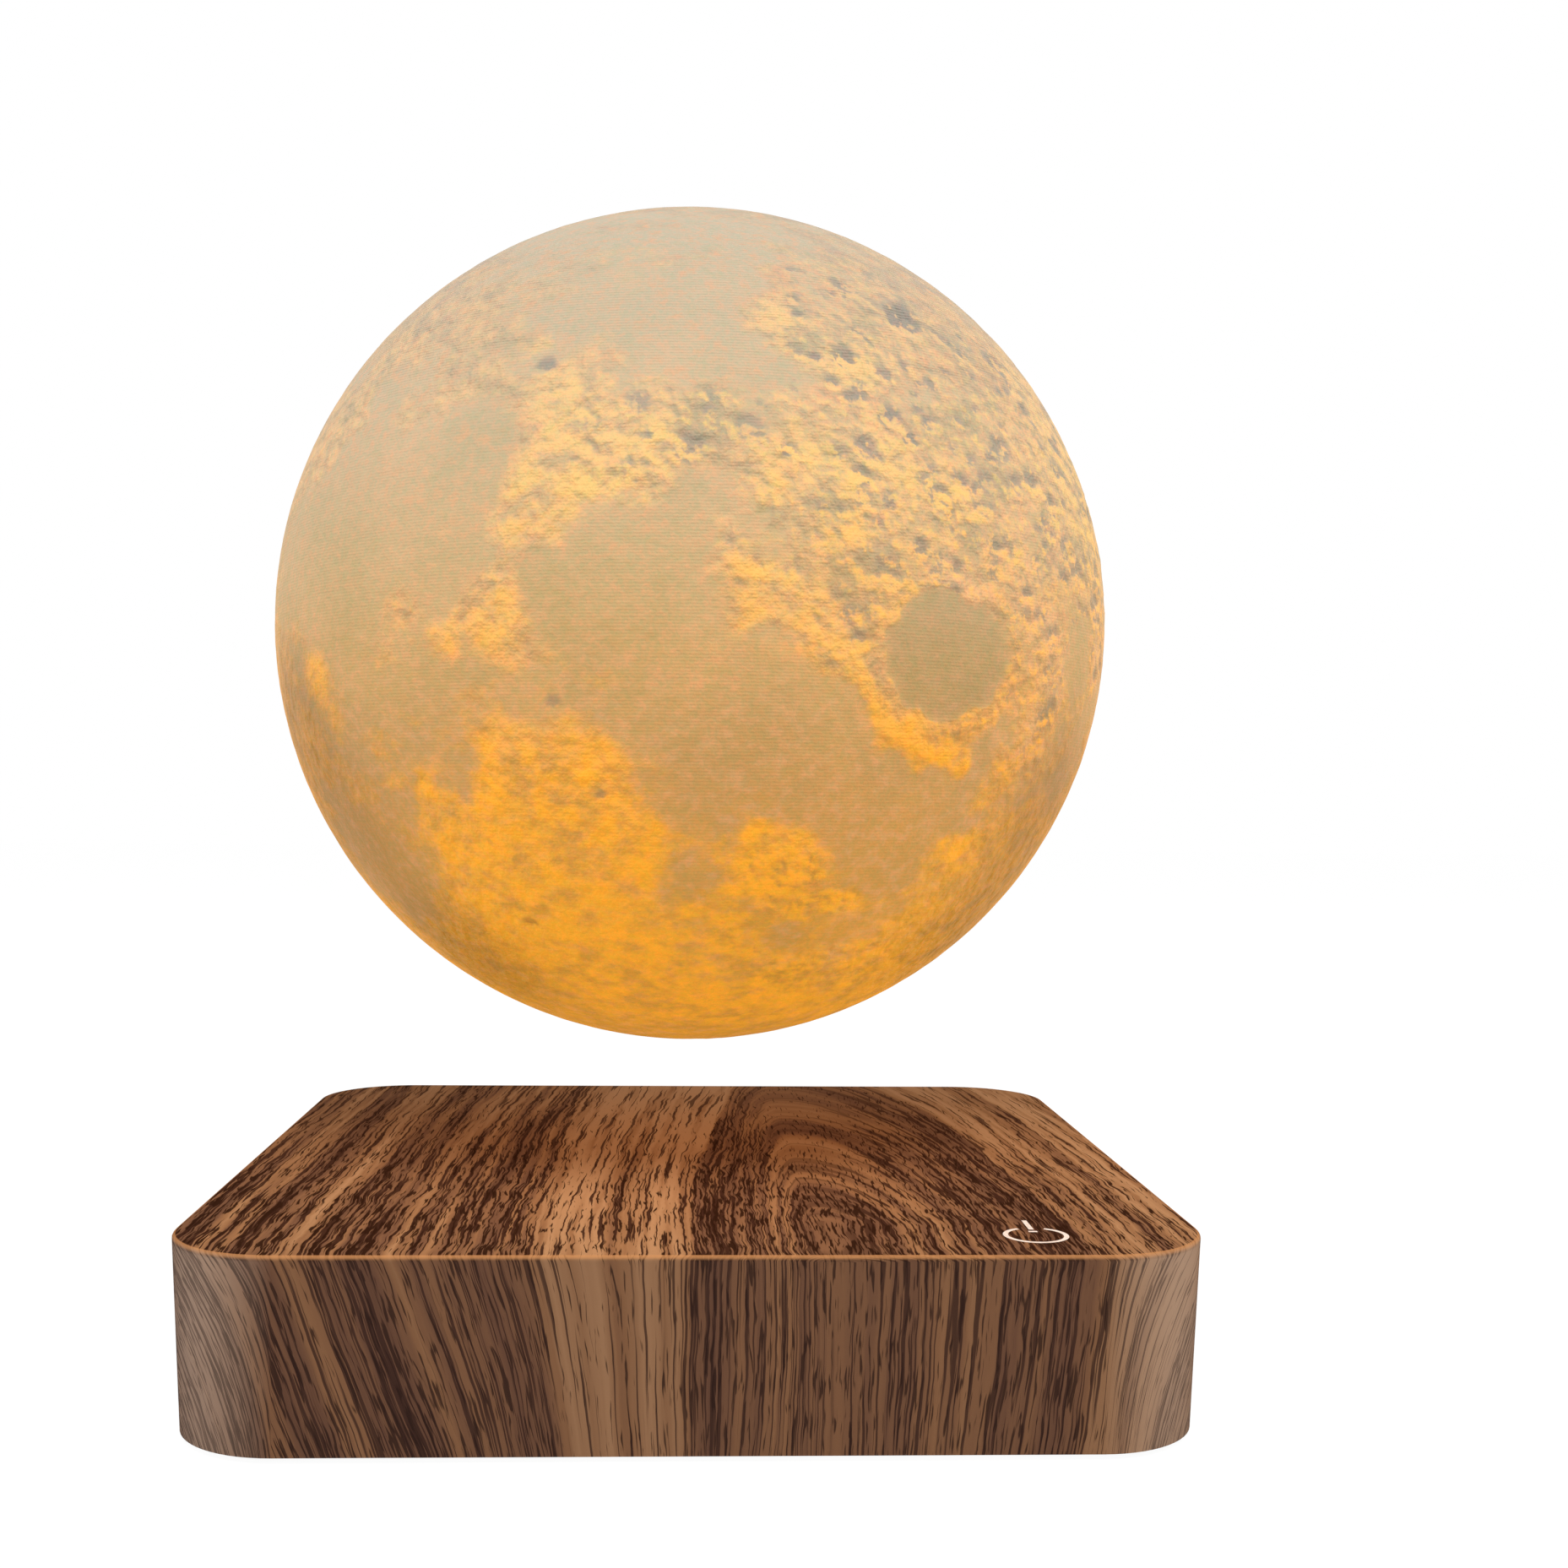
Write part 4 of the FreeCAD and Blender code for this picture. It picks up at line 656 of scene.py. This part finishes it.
def relief(points):
    """Height in millimetres at unit directions, and the values by name that steer the colours there.

    slope is above 0 on ground that looks up, and below 0 on ground that looks down; it steers painted light
    and painted shade.
    """
    rng = np.random.default_rng(RELIEF_SEED)
    ragged, rough = (sum(ripple(points, waves, rng) / share for waves, share in field)
                     for field in (RAGGED, ROUGH))
    shade, crowd, painted_limb_shade = (np.clip(patched(points, patches), 0.0, 1.0)
                            for patches in (SHADES, CRATERED, PAINTED_LIMB_SHADE))

    # the round plain has a flat floor and a raised rim, and a bright crest runs past it
    middle = direction(*ROUND_PLAIN_AT)
    east = np.array([-middle[1], middle[0], 0.0]) / np.hypot(middle[0], middle[1])
    sideways = points @ east / ROUND_PLAIN_DEG[0]
    upwards = points @ np.cross(middle, east) / ROUND_PLAIN_DEG[1]
    across = np.degrees(np.hypot(sideways, upwards)) * np.where(points @ middle > 0, 1.0, FAR_SIDE)
    across += 0.08 * ragged + 0.06 * rough
    floor = smooth(1.10, 0.90, across)
    rim = np.exp(-(((across - 1.17) / 0.13) ** 2))
    crest = sum(np.exp(-((apart(points, direction(*place)) / CREST_DEG) ** 2)) for place in CREST)
    crest = np.clip(crest, 0.0, 1.0)
    plain = patched(points, PLAINS) + 0.12 * ragged + 2.5 * floor - 1.1 * rim - 1.2 * crest
    glow = np.clip(patched(points, GLOWS) + 0.55 * crest, 0.0, 1.0)
    highland = 1.0 - smooth(0.3, 0.7, plain)
    height = PLAIN_DEPTH_MM * (highland - 1.0) + RIM_MM * rim + CREST_MM * crest
    height += ROUGH_MM * rough * highland * (0.3 + 0.7 * crowd)

    # the named craters, then small ones strewn at random, faint where the ground isn't cratered: share is
    # the distance from the middle in radii, with a bowl within 1 and a lip round it. Through slope, the
    # crest gets painted light, and each crater gets painted shade on its upper wall and painted light on
    # its lower one
    pit = np.zeros(len(points))
    slope = 1.3 * crest
    places = [(direction(*place[:2]), place[2]) for place in NAMED_CRATERS]
    while len(places) < CRATERS:
        towards = rng.normal(size=3)
        towards /= np.linalg.norm(towards)
        places.append((towards, CRATER_DEG[0] + (CRATER_DEG[1] - CRATER_DEG[0]) * rng.random() ** 4))
    for number, (towards, radius) in enumerate(places):
        near = np.nonzero(points @ towards > math.cos(math.radians(radius * 1.7)))[0]
        share = apart(points[near], towards) / radius
        strewn = highland[near] * (0.12 + 0.88 * crowd[near]) * 0.8
        strength = 1.0 if number < len(NAMED_CRATERS) else strewn
        north = np.array([0.0, 0.0, 1.0]) - towards * towards[2]
        climb = points[near] @ (north / np.linalg.norm(north)) / math.radians(radius)
        bowl = CRATER_BOWL * np.clip(1.0 - share**2, 0.0, 1.0)
        lip = CRATER_RIM * np.exp(-((share - 1.0) / 0.3) ** 2)
        height[near] += strength * math.radians(radius) * MOON_R * 1000 * (lip - bowl)
        pit[near] = np.maximum(pit[near], strength * smooth(1.05, 0.65, share))
        slope[near] -= strength * climb * smooth(1.5, 0.9, share)
    values = {"plain": plain, "glow": glow, "shade": shade, "crowd": crowd, "pit": pit, "floor": floor,
              "painted_limb_shade": painted_limb_shade, "slope": np.clip(slope, -1.0, 1.0)}
    return height, values


def printed_wall(name, keep_above, rim_r):
    """One piece of the moon's wall, cut at the opening: its outside carries the relief."""
    wall = bmesh.new()
    for radius, cuts in ((MOON_R, 5), (INNER_R, 0)):
        ball = bmesh.new()
        bmesh.ops.create_icosphere(ball, subdivisions=5, radius=radius)
        if cuts:
            bmesh.ops.subdivide_edges(ball, edges=ball.edges[:], cuts=cuts, use_grid_fill=True)
        for vert in ball.verts:
            vert.co *= radius / vert.co.length
        cut_z = -math.sqrt(radius**2 - rim_r**2)
        everything = ball.verts[:] + ball.edges[:] + ball.faces[:]
        bmesh.ops.bisect_plane(ball, geom=everything, plane_co=(0, 0, cut_z), plane_no=(0, 0, 1),
                               clear_inner=keep_above, clear_outer=not keep_above)
        if radius == INNER_R:
            bmesh.ops.reverse_faces(ball, faces=ball.faces[:])
        mesh = bpy.data.meshes.new("half")
        ball.to_mesh(mesh)
        ball.free()
        wall.from_mesh(mesh)
        bpy.data.meshes.remove(mesh)
    rim_edges = [edge for edge in wall.edges if edge.is_boundary]
    bmesh.ops.bridge_loops(wall, edges=rim_edges)
    bmesh.ops.translate(wall, verts=wall.verts[:], vec=(0, 0, MOON_Z))
    mesh = bpy.data.meshes.new(name)
    wall.to_mesh(mesh)
    wall.free()

    co = np.empty(len(mesh.vertices) * 3)
    mesh.vertices.foreach_get("co", co)
    co = co.reshape(-1, 3) - (0, 0, MOON_Z)
    radius = np.linalg.norm(co, axis=1)
    points = co / radius[:, None]
    height, values = relief(points)
    seam = np.clip(np.abs(points[:, 2] + math.sqrt(1 - (OPENING_R / MOON_R) ** 2)) / SEAM_BLEND, 0, 1)
    outside = radius > MOON_R - WALL / 2
    co = np.where(outside[:, None], points * (radius + height * seam / 1000)[:, None], co) + (0, 0, MOON_Z)
    mesh.vertices.foreach_set("co", co.ravel())
    for label, value in values.items():
        layer = mesh.attributes.new(label, "FLOAT", "POINT")
        layer.data.foreach_set("value", value.astype(np.float32))
    mesh.polygons.foreach_set("use_smooth", np.ones(len(mesh.polygons), bool))
    mesh.update()
    piece = bpy.data.objects.new(name, mesh)
    bpy.context.scene.collection.objects.link(piece)
    return piece


pla, pla_shader = new_material("printed_translucent_pla")
where = add(pla, "TexCoord", {}, output=3)
where = add(pla, "VectorMath", {0: where, 1: (0, 0, MOON_Z)}, operation="SUBTRACT")
millimetres = add(pla, "VectorMath", {0: where, "Scale": 1000.0}, operation="SCALE")
round_z = add(pla, "SeparateXYZ", {0: millimetres}).node.outputs["Z"]
plain, glow, shade, crowd, pit, slope, floor, painted_limb_shade = (
    add(pla, "Attribute", {}, output=2, attribute_name=label)
    for label in ("plain", "glow", "shade", "crowd", "pit", "slope", "floor", "painted_limb_shade"))

# the layers of the print draw every mottle out sideways
drawn = add(pla, "VectorMath", {0: millimetres, 1: (1.0, 1.0, 1.25)}, operation="MULTIPLY")
fray = add(pla, "TexNoise", {"Vector": drawn, "Scale": 0.09, "Detail": 7.0, "Roughness": 0.6})
patch = add(pla, "TexNoise", {"Vector": millimetres, "Scale": 0.06, "Detail": 6.0, "Roughness": 0.62})
mottle = add(pla, "TexNoise", {"Vector": drawn, "Scale": 0.2, "Detail": 5.0, "Roughness": 0.55})
blotch = add(pla, "TexNoise", {"Vector": drawn, "Scale": 0.42, "Detail": 4.0, "Roughness": 0.6})
speck = add(pla, "TexNoise", {"Vector": drawn, "Scale": 1.3, "Detail": 4.0, "Roughness": 0.65})

# highland share: the plains' edges are frayed well below the size of the mesh, with islands in them
FRAYED = 5.6
edge = add(pla, "Math", {0: fray, 1: FRAYED, 2: -FRAYED / 2}, operation="MULTIPLY_ADD")
edge = add(pla, "Math", {0: edge, 1: plain}, operation="ADD")
edge = add(pla, "Math", {0: glow, 1: -0.75, 2: edge}, operation="MULTIPLY_ADD")
highland = add(pla, "MapRange", {"Value": edge, "From Min": 1.2, "From Max": -0.05},
               interpolation_type="SMOOTHSTEP")

# every tone changes from amber at the bottom to grey at the top, on a level that wavers a little
SWAY_MM = 30.0
sway = add(pla, "Math", {0: patch, 1: SWAY_MM, 2: -SWAY_MM / 2}, operation="MULTIPLY_ADD")
level = add(pla, "Math", {0: round_z, 1: sway}, operation="ADD")
level = add(pla, "MapRange", {"Value": level, "From Min": -MOON_R * 1000, "From Max": MOON_R * 1000})
plain_tone = add(pla, "ValToRGB", {0: level}, stops=[
    (0.0, "#cf9240"), (0.16, "#c8954e"), (0.30, "#c4975e"), (0.44, "#c5a370"),
    (0.52, "#c5ab81"), (0.64, "#c5b192"), (0.76, "#c8b9a2"), (0.92, "#c7beae")])
highland_tone = add(pla, "ValToRGB", {0: level}, stops=[
    (0.0, "#e09c36"), (0.16, "#e6a03a"), (0.30, "#e6a24a"), (0.44, "#e6ad6c"),
    (0.56, "#e5b988"), (0.70, "#e1be98"), (0.84, "#d8bea0"), (0.96, "#c8b8a4")])
glow_tone = add(pla, "ValToRGB", {0: level}, stops=[
    (0.10, "#fbac32"), (0.32, "#ffae34"), (0.50, "#f9be68"), (0.62, "#f3ca84"),
    (0.85, "#eacaa0")])
shade_tone = add(pla, "ValToRGB", {0: level}, stops=[
    (0.12, "#c48e3e"), (0.36, "#c2914f"), (0.54, "#bba483"), (0.72, "#b7aa92"),
    (0.9, "#b4aaa0")])
colour = add(pla, "Mix", {"Factor": highland, "A": plain_tone, "B": highland_tone}, data_type="RGBA",
             output=2)

# the plains are faintly cloudy, and pinker in spots
cloud = add(pla, "Math", {0: patch, 1: 1.6, 2: -0.62}, operation="MULTIPLY_ADD", use_clamp=True)
colour = add(pla, "Mix", {"Factor": cloud, "A": colour, "B": highland_tone}, data_type="RGBA", output=2)
warm_cloud = add(pla, "MapRange", {"Value": blotch, "From Min": 0.48, "From Max": 0.66, "To Max": 0.32})
colour = add(pla, "Mix", {"Factor": warm_cloud, "A": colour, "B": "#dfae7e"}, data_type="RGBA", output=2)

# greyer, pinker and golden stretches in the highlands, and a darker floor in the round plain
stretch = add(pla, "MapRange", {"Value": mottle, "From Min": 0.58, "From Max": 0.38, "To Max": 0.62})
stretch = add(pla, "Math", {0: shade, 1: 0.85, 2: stretch}, operation="MULTIPLY_ADD", use_clamp=True)
stretch = add(pla, "Math", {0: stretch, 1: highland}, operation="MULTIPLY")
colour = add(pla, "Mix", {"Factor": stretch, "A": colour, "B": shade_tone}, data_type="RGBA", output=2)
colour = add(pla, "Mix", {"Factor": floor, "A": colour, "B": (0.80, 0.85, 0.90, 1.0)}, data_type="RGBA",
             blend_type="MULTIPLY", output=2)
flush = add(pla, "MapRange", {"Value": mottle, "From Min": 0.42, "From Max": 0.62, "To Max": 0.55})
flush = add(pla, "Math", {0: flush, 1: glow}, operation="MULTIPLY")
colour = add(pla, "Mix", {"Factor": flush, "A": colour, "B": highland_tone}, data_type="RGBA", output=2)
blush = add(pla, "MapRange", {"Value": patch, "From Min": 0.50, "From Max": 0.62, "To Max": 0.5})
blush = add(pla, "Math", {0: blush, 1: crowd}, operation="MULTIPLY")
blush = add(pla, "Math", {0: blush, 1: highland}, operation="MULTIPLY")
colour = add(pla, "Mix", {"Factor": blush, "A": colour, "B": "#e6b48c"}, data_type="RGBA", output=2)
through = add(pla, "MapRange", {"Value": mottle, "From Min": 0.38, "From Max": 0.62, "To Min": 0.15})
thin_here = add(pla, "Math", {0: glow, 1: 0.9, 2: 0.10}, operation="MULTIPLY_ADD", use_clamp=True)
through = add(pla, "Math", {0: through, 1: thin_here}, operation="MULTIPLY")
through = add(pla, "Math", {0: through, 1: highland}, operation="MULTIPLY")
colour = add(pla, "Mix", {"Factor": through, "A": colour, "B": glow_tone}, data_type="RGBA", output=2)

# hummocks and pits are coloured as if lit from above: painted light, golden, on the side that looks up, and
# painted shade, grey, on the side that looks down and in the pits
UPHILL_MM = (0.45, 0.0, 0.6)
swells_at = add(pla, "VectorMath", {0: millimetres, 1: patch}, operation="ADD")


def hummocks(at):
    """Height of the swells and small pits at a place, about 0 to 1."""
    swell = add(pla, "TexNoise", {"Vector": at, "Scale": 0.36, "Detail": 3.0, "Roughness": 0.5})
    bowl = add(pla, "TexVoronoi", {"Vector": at, "Scale": 0.2}, feature="F1")
    bowl = add(pla, "MapRange", {"Value": bowl, "From Min": 0.05, "From Max": 0.34},
               interpolation_type="SMOOTHSTEP")
    return add(pla, "Math", {0: bowl, 1: 0.15, 2: swell}, operation="MULTIPLY_ADD")


bump_here = hummocks(swells_at)
uphill = add(pla, "VectorMath", {0: swells_at, 1: UPHILL_MM}, operation="ADD")
tilt = add(pla, "Math", {0: bump_here, 1: hummocks(uphill)}, operation="SUBTRACT")
tilt_share = add(pla, "MapRange", {"Value": crowd, "To Min": 3.0, "To Max": 8.5})
tilt = add(pla, "Math", {0: tilt, 1: tilt_share, 2: slope}, operation="MULTIPLY_ADD")
painted_light = add(pla, "MapRange", {"Value": tilt, "From Min": 0.1, "From Max": 1.4, "To Max": 0.85})
painted_light = add(pla, "Math", {0: painted_light, 1: highland}, operation="MULTIPLY")
colour = add(pla, "Mix", {"Factor": painted_light, "A": colour, "B": glow_tone}, data_type="RGBA", output=2)
painted_shade = add(pla, "MapRange", {"Value": tilt, "From Min": -0.1, "From Max": -1.4, "To Max": 0.8})
painted_shade = add(pla, "Math", {0: painted_shade, 1: highland}, operation="MULTIPLY")
colour = add(pla, "Mix", {"Factor": painted_shade, "A": colour, "B": shade_tone}, data_type="RGBA", output=2)
painted_pit_shade = add(pla, "MapRange", {"Value": tilt, "From Min": 0.35, "From Max": -0.15, "To Max": 0.95})
painted_pit_shade = add(pla, "Math", {0: painted_pit_shade, 1: pit}, operation="MULTIPLY")
pit_shade_tone = add(pla, "ValToRGB", {0: level}, stops=[
    (0.2, "#ba8638"), (0.45, "#ad9474"), (0.65, "#a39a90"), (0.9, "#a09c98")])
colour = add(pla, "Mix", {"Factor": painted_pit_shade, "A": colour, "B": pit_shade_tone}, data_type="RGBA", output=2)

# blotches all over, a little olive and a little pink, and a fine speckle of the same
blotches = add(pla, "ValToRGB", {0: blotch}, stops=[
    (0.32, (0.93, 0.96, 0.91, 1.0)), (0.5, grey(0.98)), (0.68, (1.04, 0.97, 0.98, 1.0))])
speckle = add(pla, "ValToRGB", {0: speck}, stops=[
    (0.40, (0.88, 0.95, 0.90, 1.0)), (0.60, (1.04, 0.94, 0.88, 1.0))])
for shades_of in (blotches, speckle):
    colour = add(pla, "Mix", {"Factor": 1.0, "A": colour, "B": shades_of}, data_type="RGBA",
                 blend_type="MULTIPLY", output=2)
# painted shade darkens the patches near the lower limbs
brightness = add(pla, "MapRange", {"Value": painted_limb_shade, "To Min": 1.08, "To Max": 0.74})
colour = add(pla, "VectorMath", {0: colour, "Scale": brightness}, operation="SCALE")

# relief too fine for the mesh: grit in the highlands, and the print's layers, drawn coarser than they are
# so that they show, and most near the top, where they lie flat
LAYER_MM = 0.5
layers = add(pla, "Math", {0: round_z, 1: 2 * math.pi / LAYER_MM}, operation="MULTIPLY")
layers = add(pla, "Math", {0: layers}, operation="SINE")
near_top = add(pla, "MapRange", {"Value": round_z, "From Min": 30.0, "From Max": 68.0,
                                 "To Min": 0.008, "To Max": 0.06})
layers = add(pla, "Math", {0: layers, 1: near_top}, operation="MULTIPLY")
grit = add(pla, "Math", {0: bump_here, 1: 0.6}, operation="SUBTRACT")
grit_share = add(pla, "MapRange", {"Value": highland, "To Min": 0.18})
grit = add(pla, "Math", {0: grit, 1: grit_share, 2: layers}, operation="MULTIPLY_ADD")
grit = add(pla, "Math", {0: speck, 1: 0.08, 2: grit}, operation="MULTIPLY_ADD")
relief_bump = add(pla, "Bump", {"Height": grit, "Strength": 1.0, "Distance": 0.0018})
painted = add(pla, "Mix", {"Factor": 1.0, "A": colour, "B": grey(0.62)}, data_type="RGBA",
              blend_type="MULTIPLY", output=2)
inner_light = add(pla, "MapRange", {"Value": level, "From Min": 0.20, "From Max": 0.80,
                                    "To Min": 1.12, "To Max": 0.64})
glowing = add(pla, "VectorMath", {0: colour, "Scale": inner_light}, operation="SCALE")
wire(pla_shader, {"Base Color": painted, "Roughness": 0.62, "Normal": relief_bump,
                  "Specular IOR Level": 0.2, "Emission Color": glowing, "Emission Strength": 0.64})

shell = printed_wall("moon_shell_relief", True, OPENING_R)
cap = printed_wall("bottom_cap_relief", False, OPENING_R - SEAM_GAP)
for piece, node in ((shell, "moon_shell"), (cap, "bottom_cap")):
    piece.data.materials.append(pla)
    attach(piece, "moon")
    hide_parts(node)

# ---- Studio --------------------------------------------------
# A pale floor and white surroundings, with a large soft lamp in front and a strip lamp at each side. Only
# what shows of them is white: they light the object as a plain grey would.

floor_maker = bmesh.new()
bmesh.ops.create_grid(floor_maker, x_segments=1, y_segments=1, size=3.0)
floor_mesh = bpy.data.meshes.new("studio_floor")
floor_maker.to_mesh(floor_mesh)
floor_maker.free()
studio_floor = bpy.data.objects.new("studio_floor", floor_mesh)
bpy.context.scene.collection.objects.link(studio_floor)


def seen_directly(owner):
    """1 for what the camera sees straight, in a mirror or through glass, else 0."""
    rays = add(owner, "LightPath", {}).node.outputs
    seen = add(owner, "Math", {0: rays["Is Camera Ray"], 1: rays["Is Glossy Ray"]}, operation="MAXIMUM")
    return add(owner, "Math", {0: seen, 1: rays["Is Transmission Ray"]}, operation="MAXIMUM")


# what shows of the floor is nearly white and keeps the object's shadow
paper = new_material("studio_paper")[0]
bounce = add(paper, "BsdfDiffuse", {"Color": grey(0.30)})
dim = add(paper, "BsdfDiffuse", {"Color": grey(0.10)})
white = add(paper, "Emission", {"Color": grey(1.0), "Strength": 0.96})
shown = add(paper, "AddShader", {0: dim, 1: white})
surface = add(paper, "MixShader", {0: seen_directly(paper), 1: bounce, 2: shown})
wire(paper.node_tree.nodes["Material Output"], {"Surface": surface})
floor_mesh.materials.append(paper)

world = bpy.data.worlds.new("studio")
bpy.context.scene.world = world
world.use_nodes = True
strength = add(world, "MapRange", {"Value": seen_directly(world), "To Min": 0.36, "To Max": 1.0})
wire(world.node_tree.nodes["Background"], {"Color": grey(1.0), "Strength": strength})


def lamp(name, place, aim, width, height, watts, colour):
    data = bpy.data.lights.new(name, "AREA")
    data.shape, data.size, data.size_y, data.energy = "RECTANGLE", width, height, watts
    data.color = linear(colour)[:3]
    made = bpy.data.objects.new(name, data)
    bpy.context.scene.collection.objects.link(made)
    made.location = place
    made.rotation_euler = (Vector(aim) - Vector(place)).to_track_quat("-Z", "Y").to_euler()


lamp("key_lamp", (0.10, -0.70, 1.00), (0, 0, 0.06), 0.6, 0.5, 9.0, "#fff4e6")
lamp("left_strip", (-0.85, -0.25, 0.30), (0, 0, 0.05), 0.25, 0.8, 2.2, "#f4f6ff")
lamp("right_strip", (0.85, -0.15, 0.30), (0, 0, 0.05), 0.25, 0.8, 2.0, "#fff2e4")

# the photograph's camera, fitted to the base's outline and the moon's circle
PHOTO_PX = 1857
FOCAL_PX = 2221.0
AXIS_PX = (879.3, 938.7)
CAMERA_AT = (-0.00437, -0.35563, 0.09914)
CAMERA_ROLL, CAMERA_YAW = -0.0093, -0.0399

camera_data = bpy.data.cameras.new("camera")
camera = bpy.data.objects.new("camera", camera_data)
bpy.context.scene.collection.objects.link(camera)
bpy.context.scene.camera = camera
camera_data.sensor_width = 36.0
camera_data.lens = FOCAL_PX / PHOTO_PX * camera_data.sensor_width
camera_data.shift_x = (PHOTO_PX / 2 - AXIS_PX[0]) / PHOTO_PX
camera_data.shift_y = (AXIS_PX[1] - PHOTO_PX / 2) / PHOTO_PX
camera_data.clip_start, camera_data.clip_end = 0.01, 20.0
camera.location = CAMERA_AT
camera.rotation_euler = (math.radians(90), CAMERA_ROLL, CAMERA_YAW)

bpy.context.scene.view_settings.view_transform = "Standard"
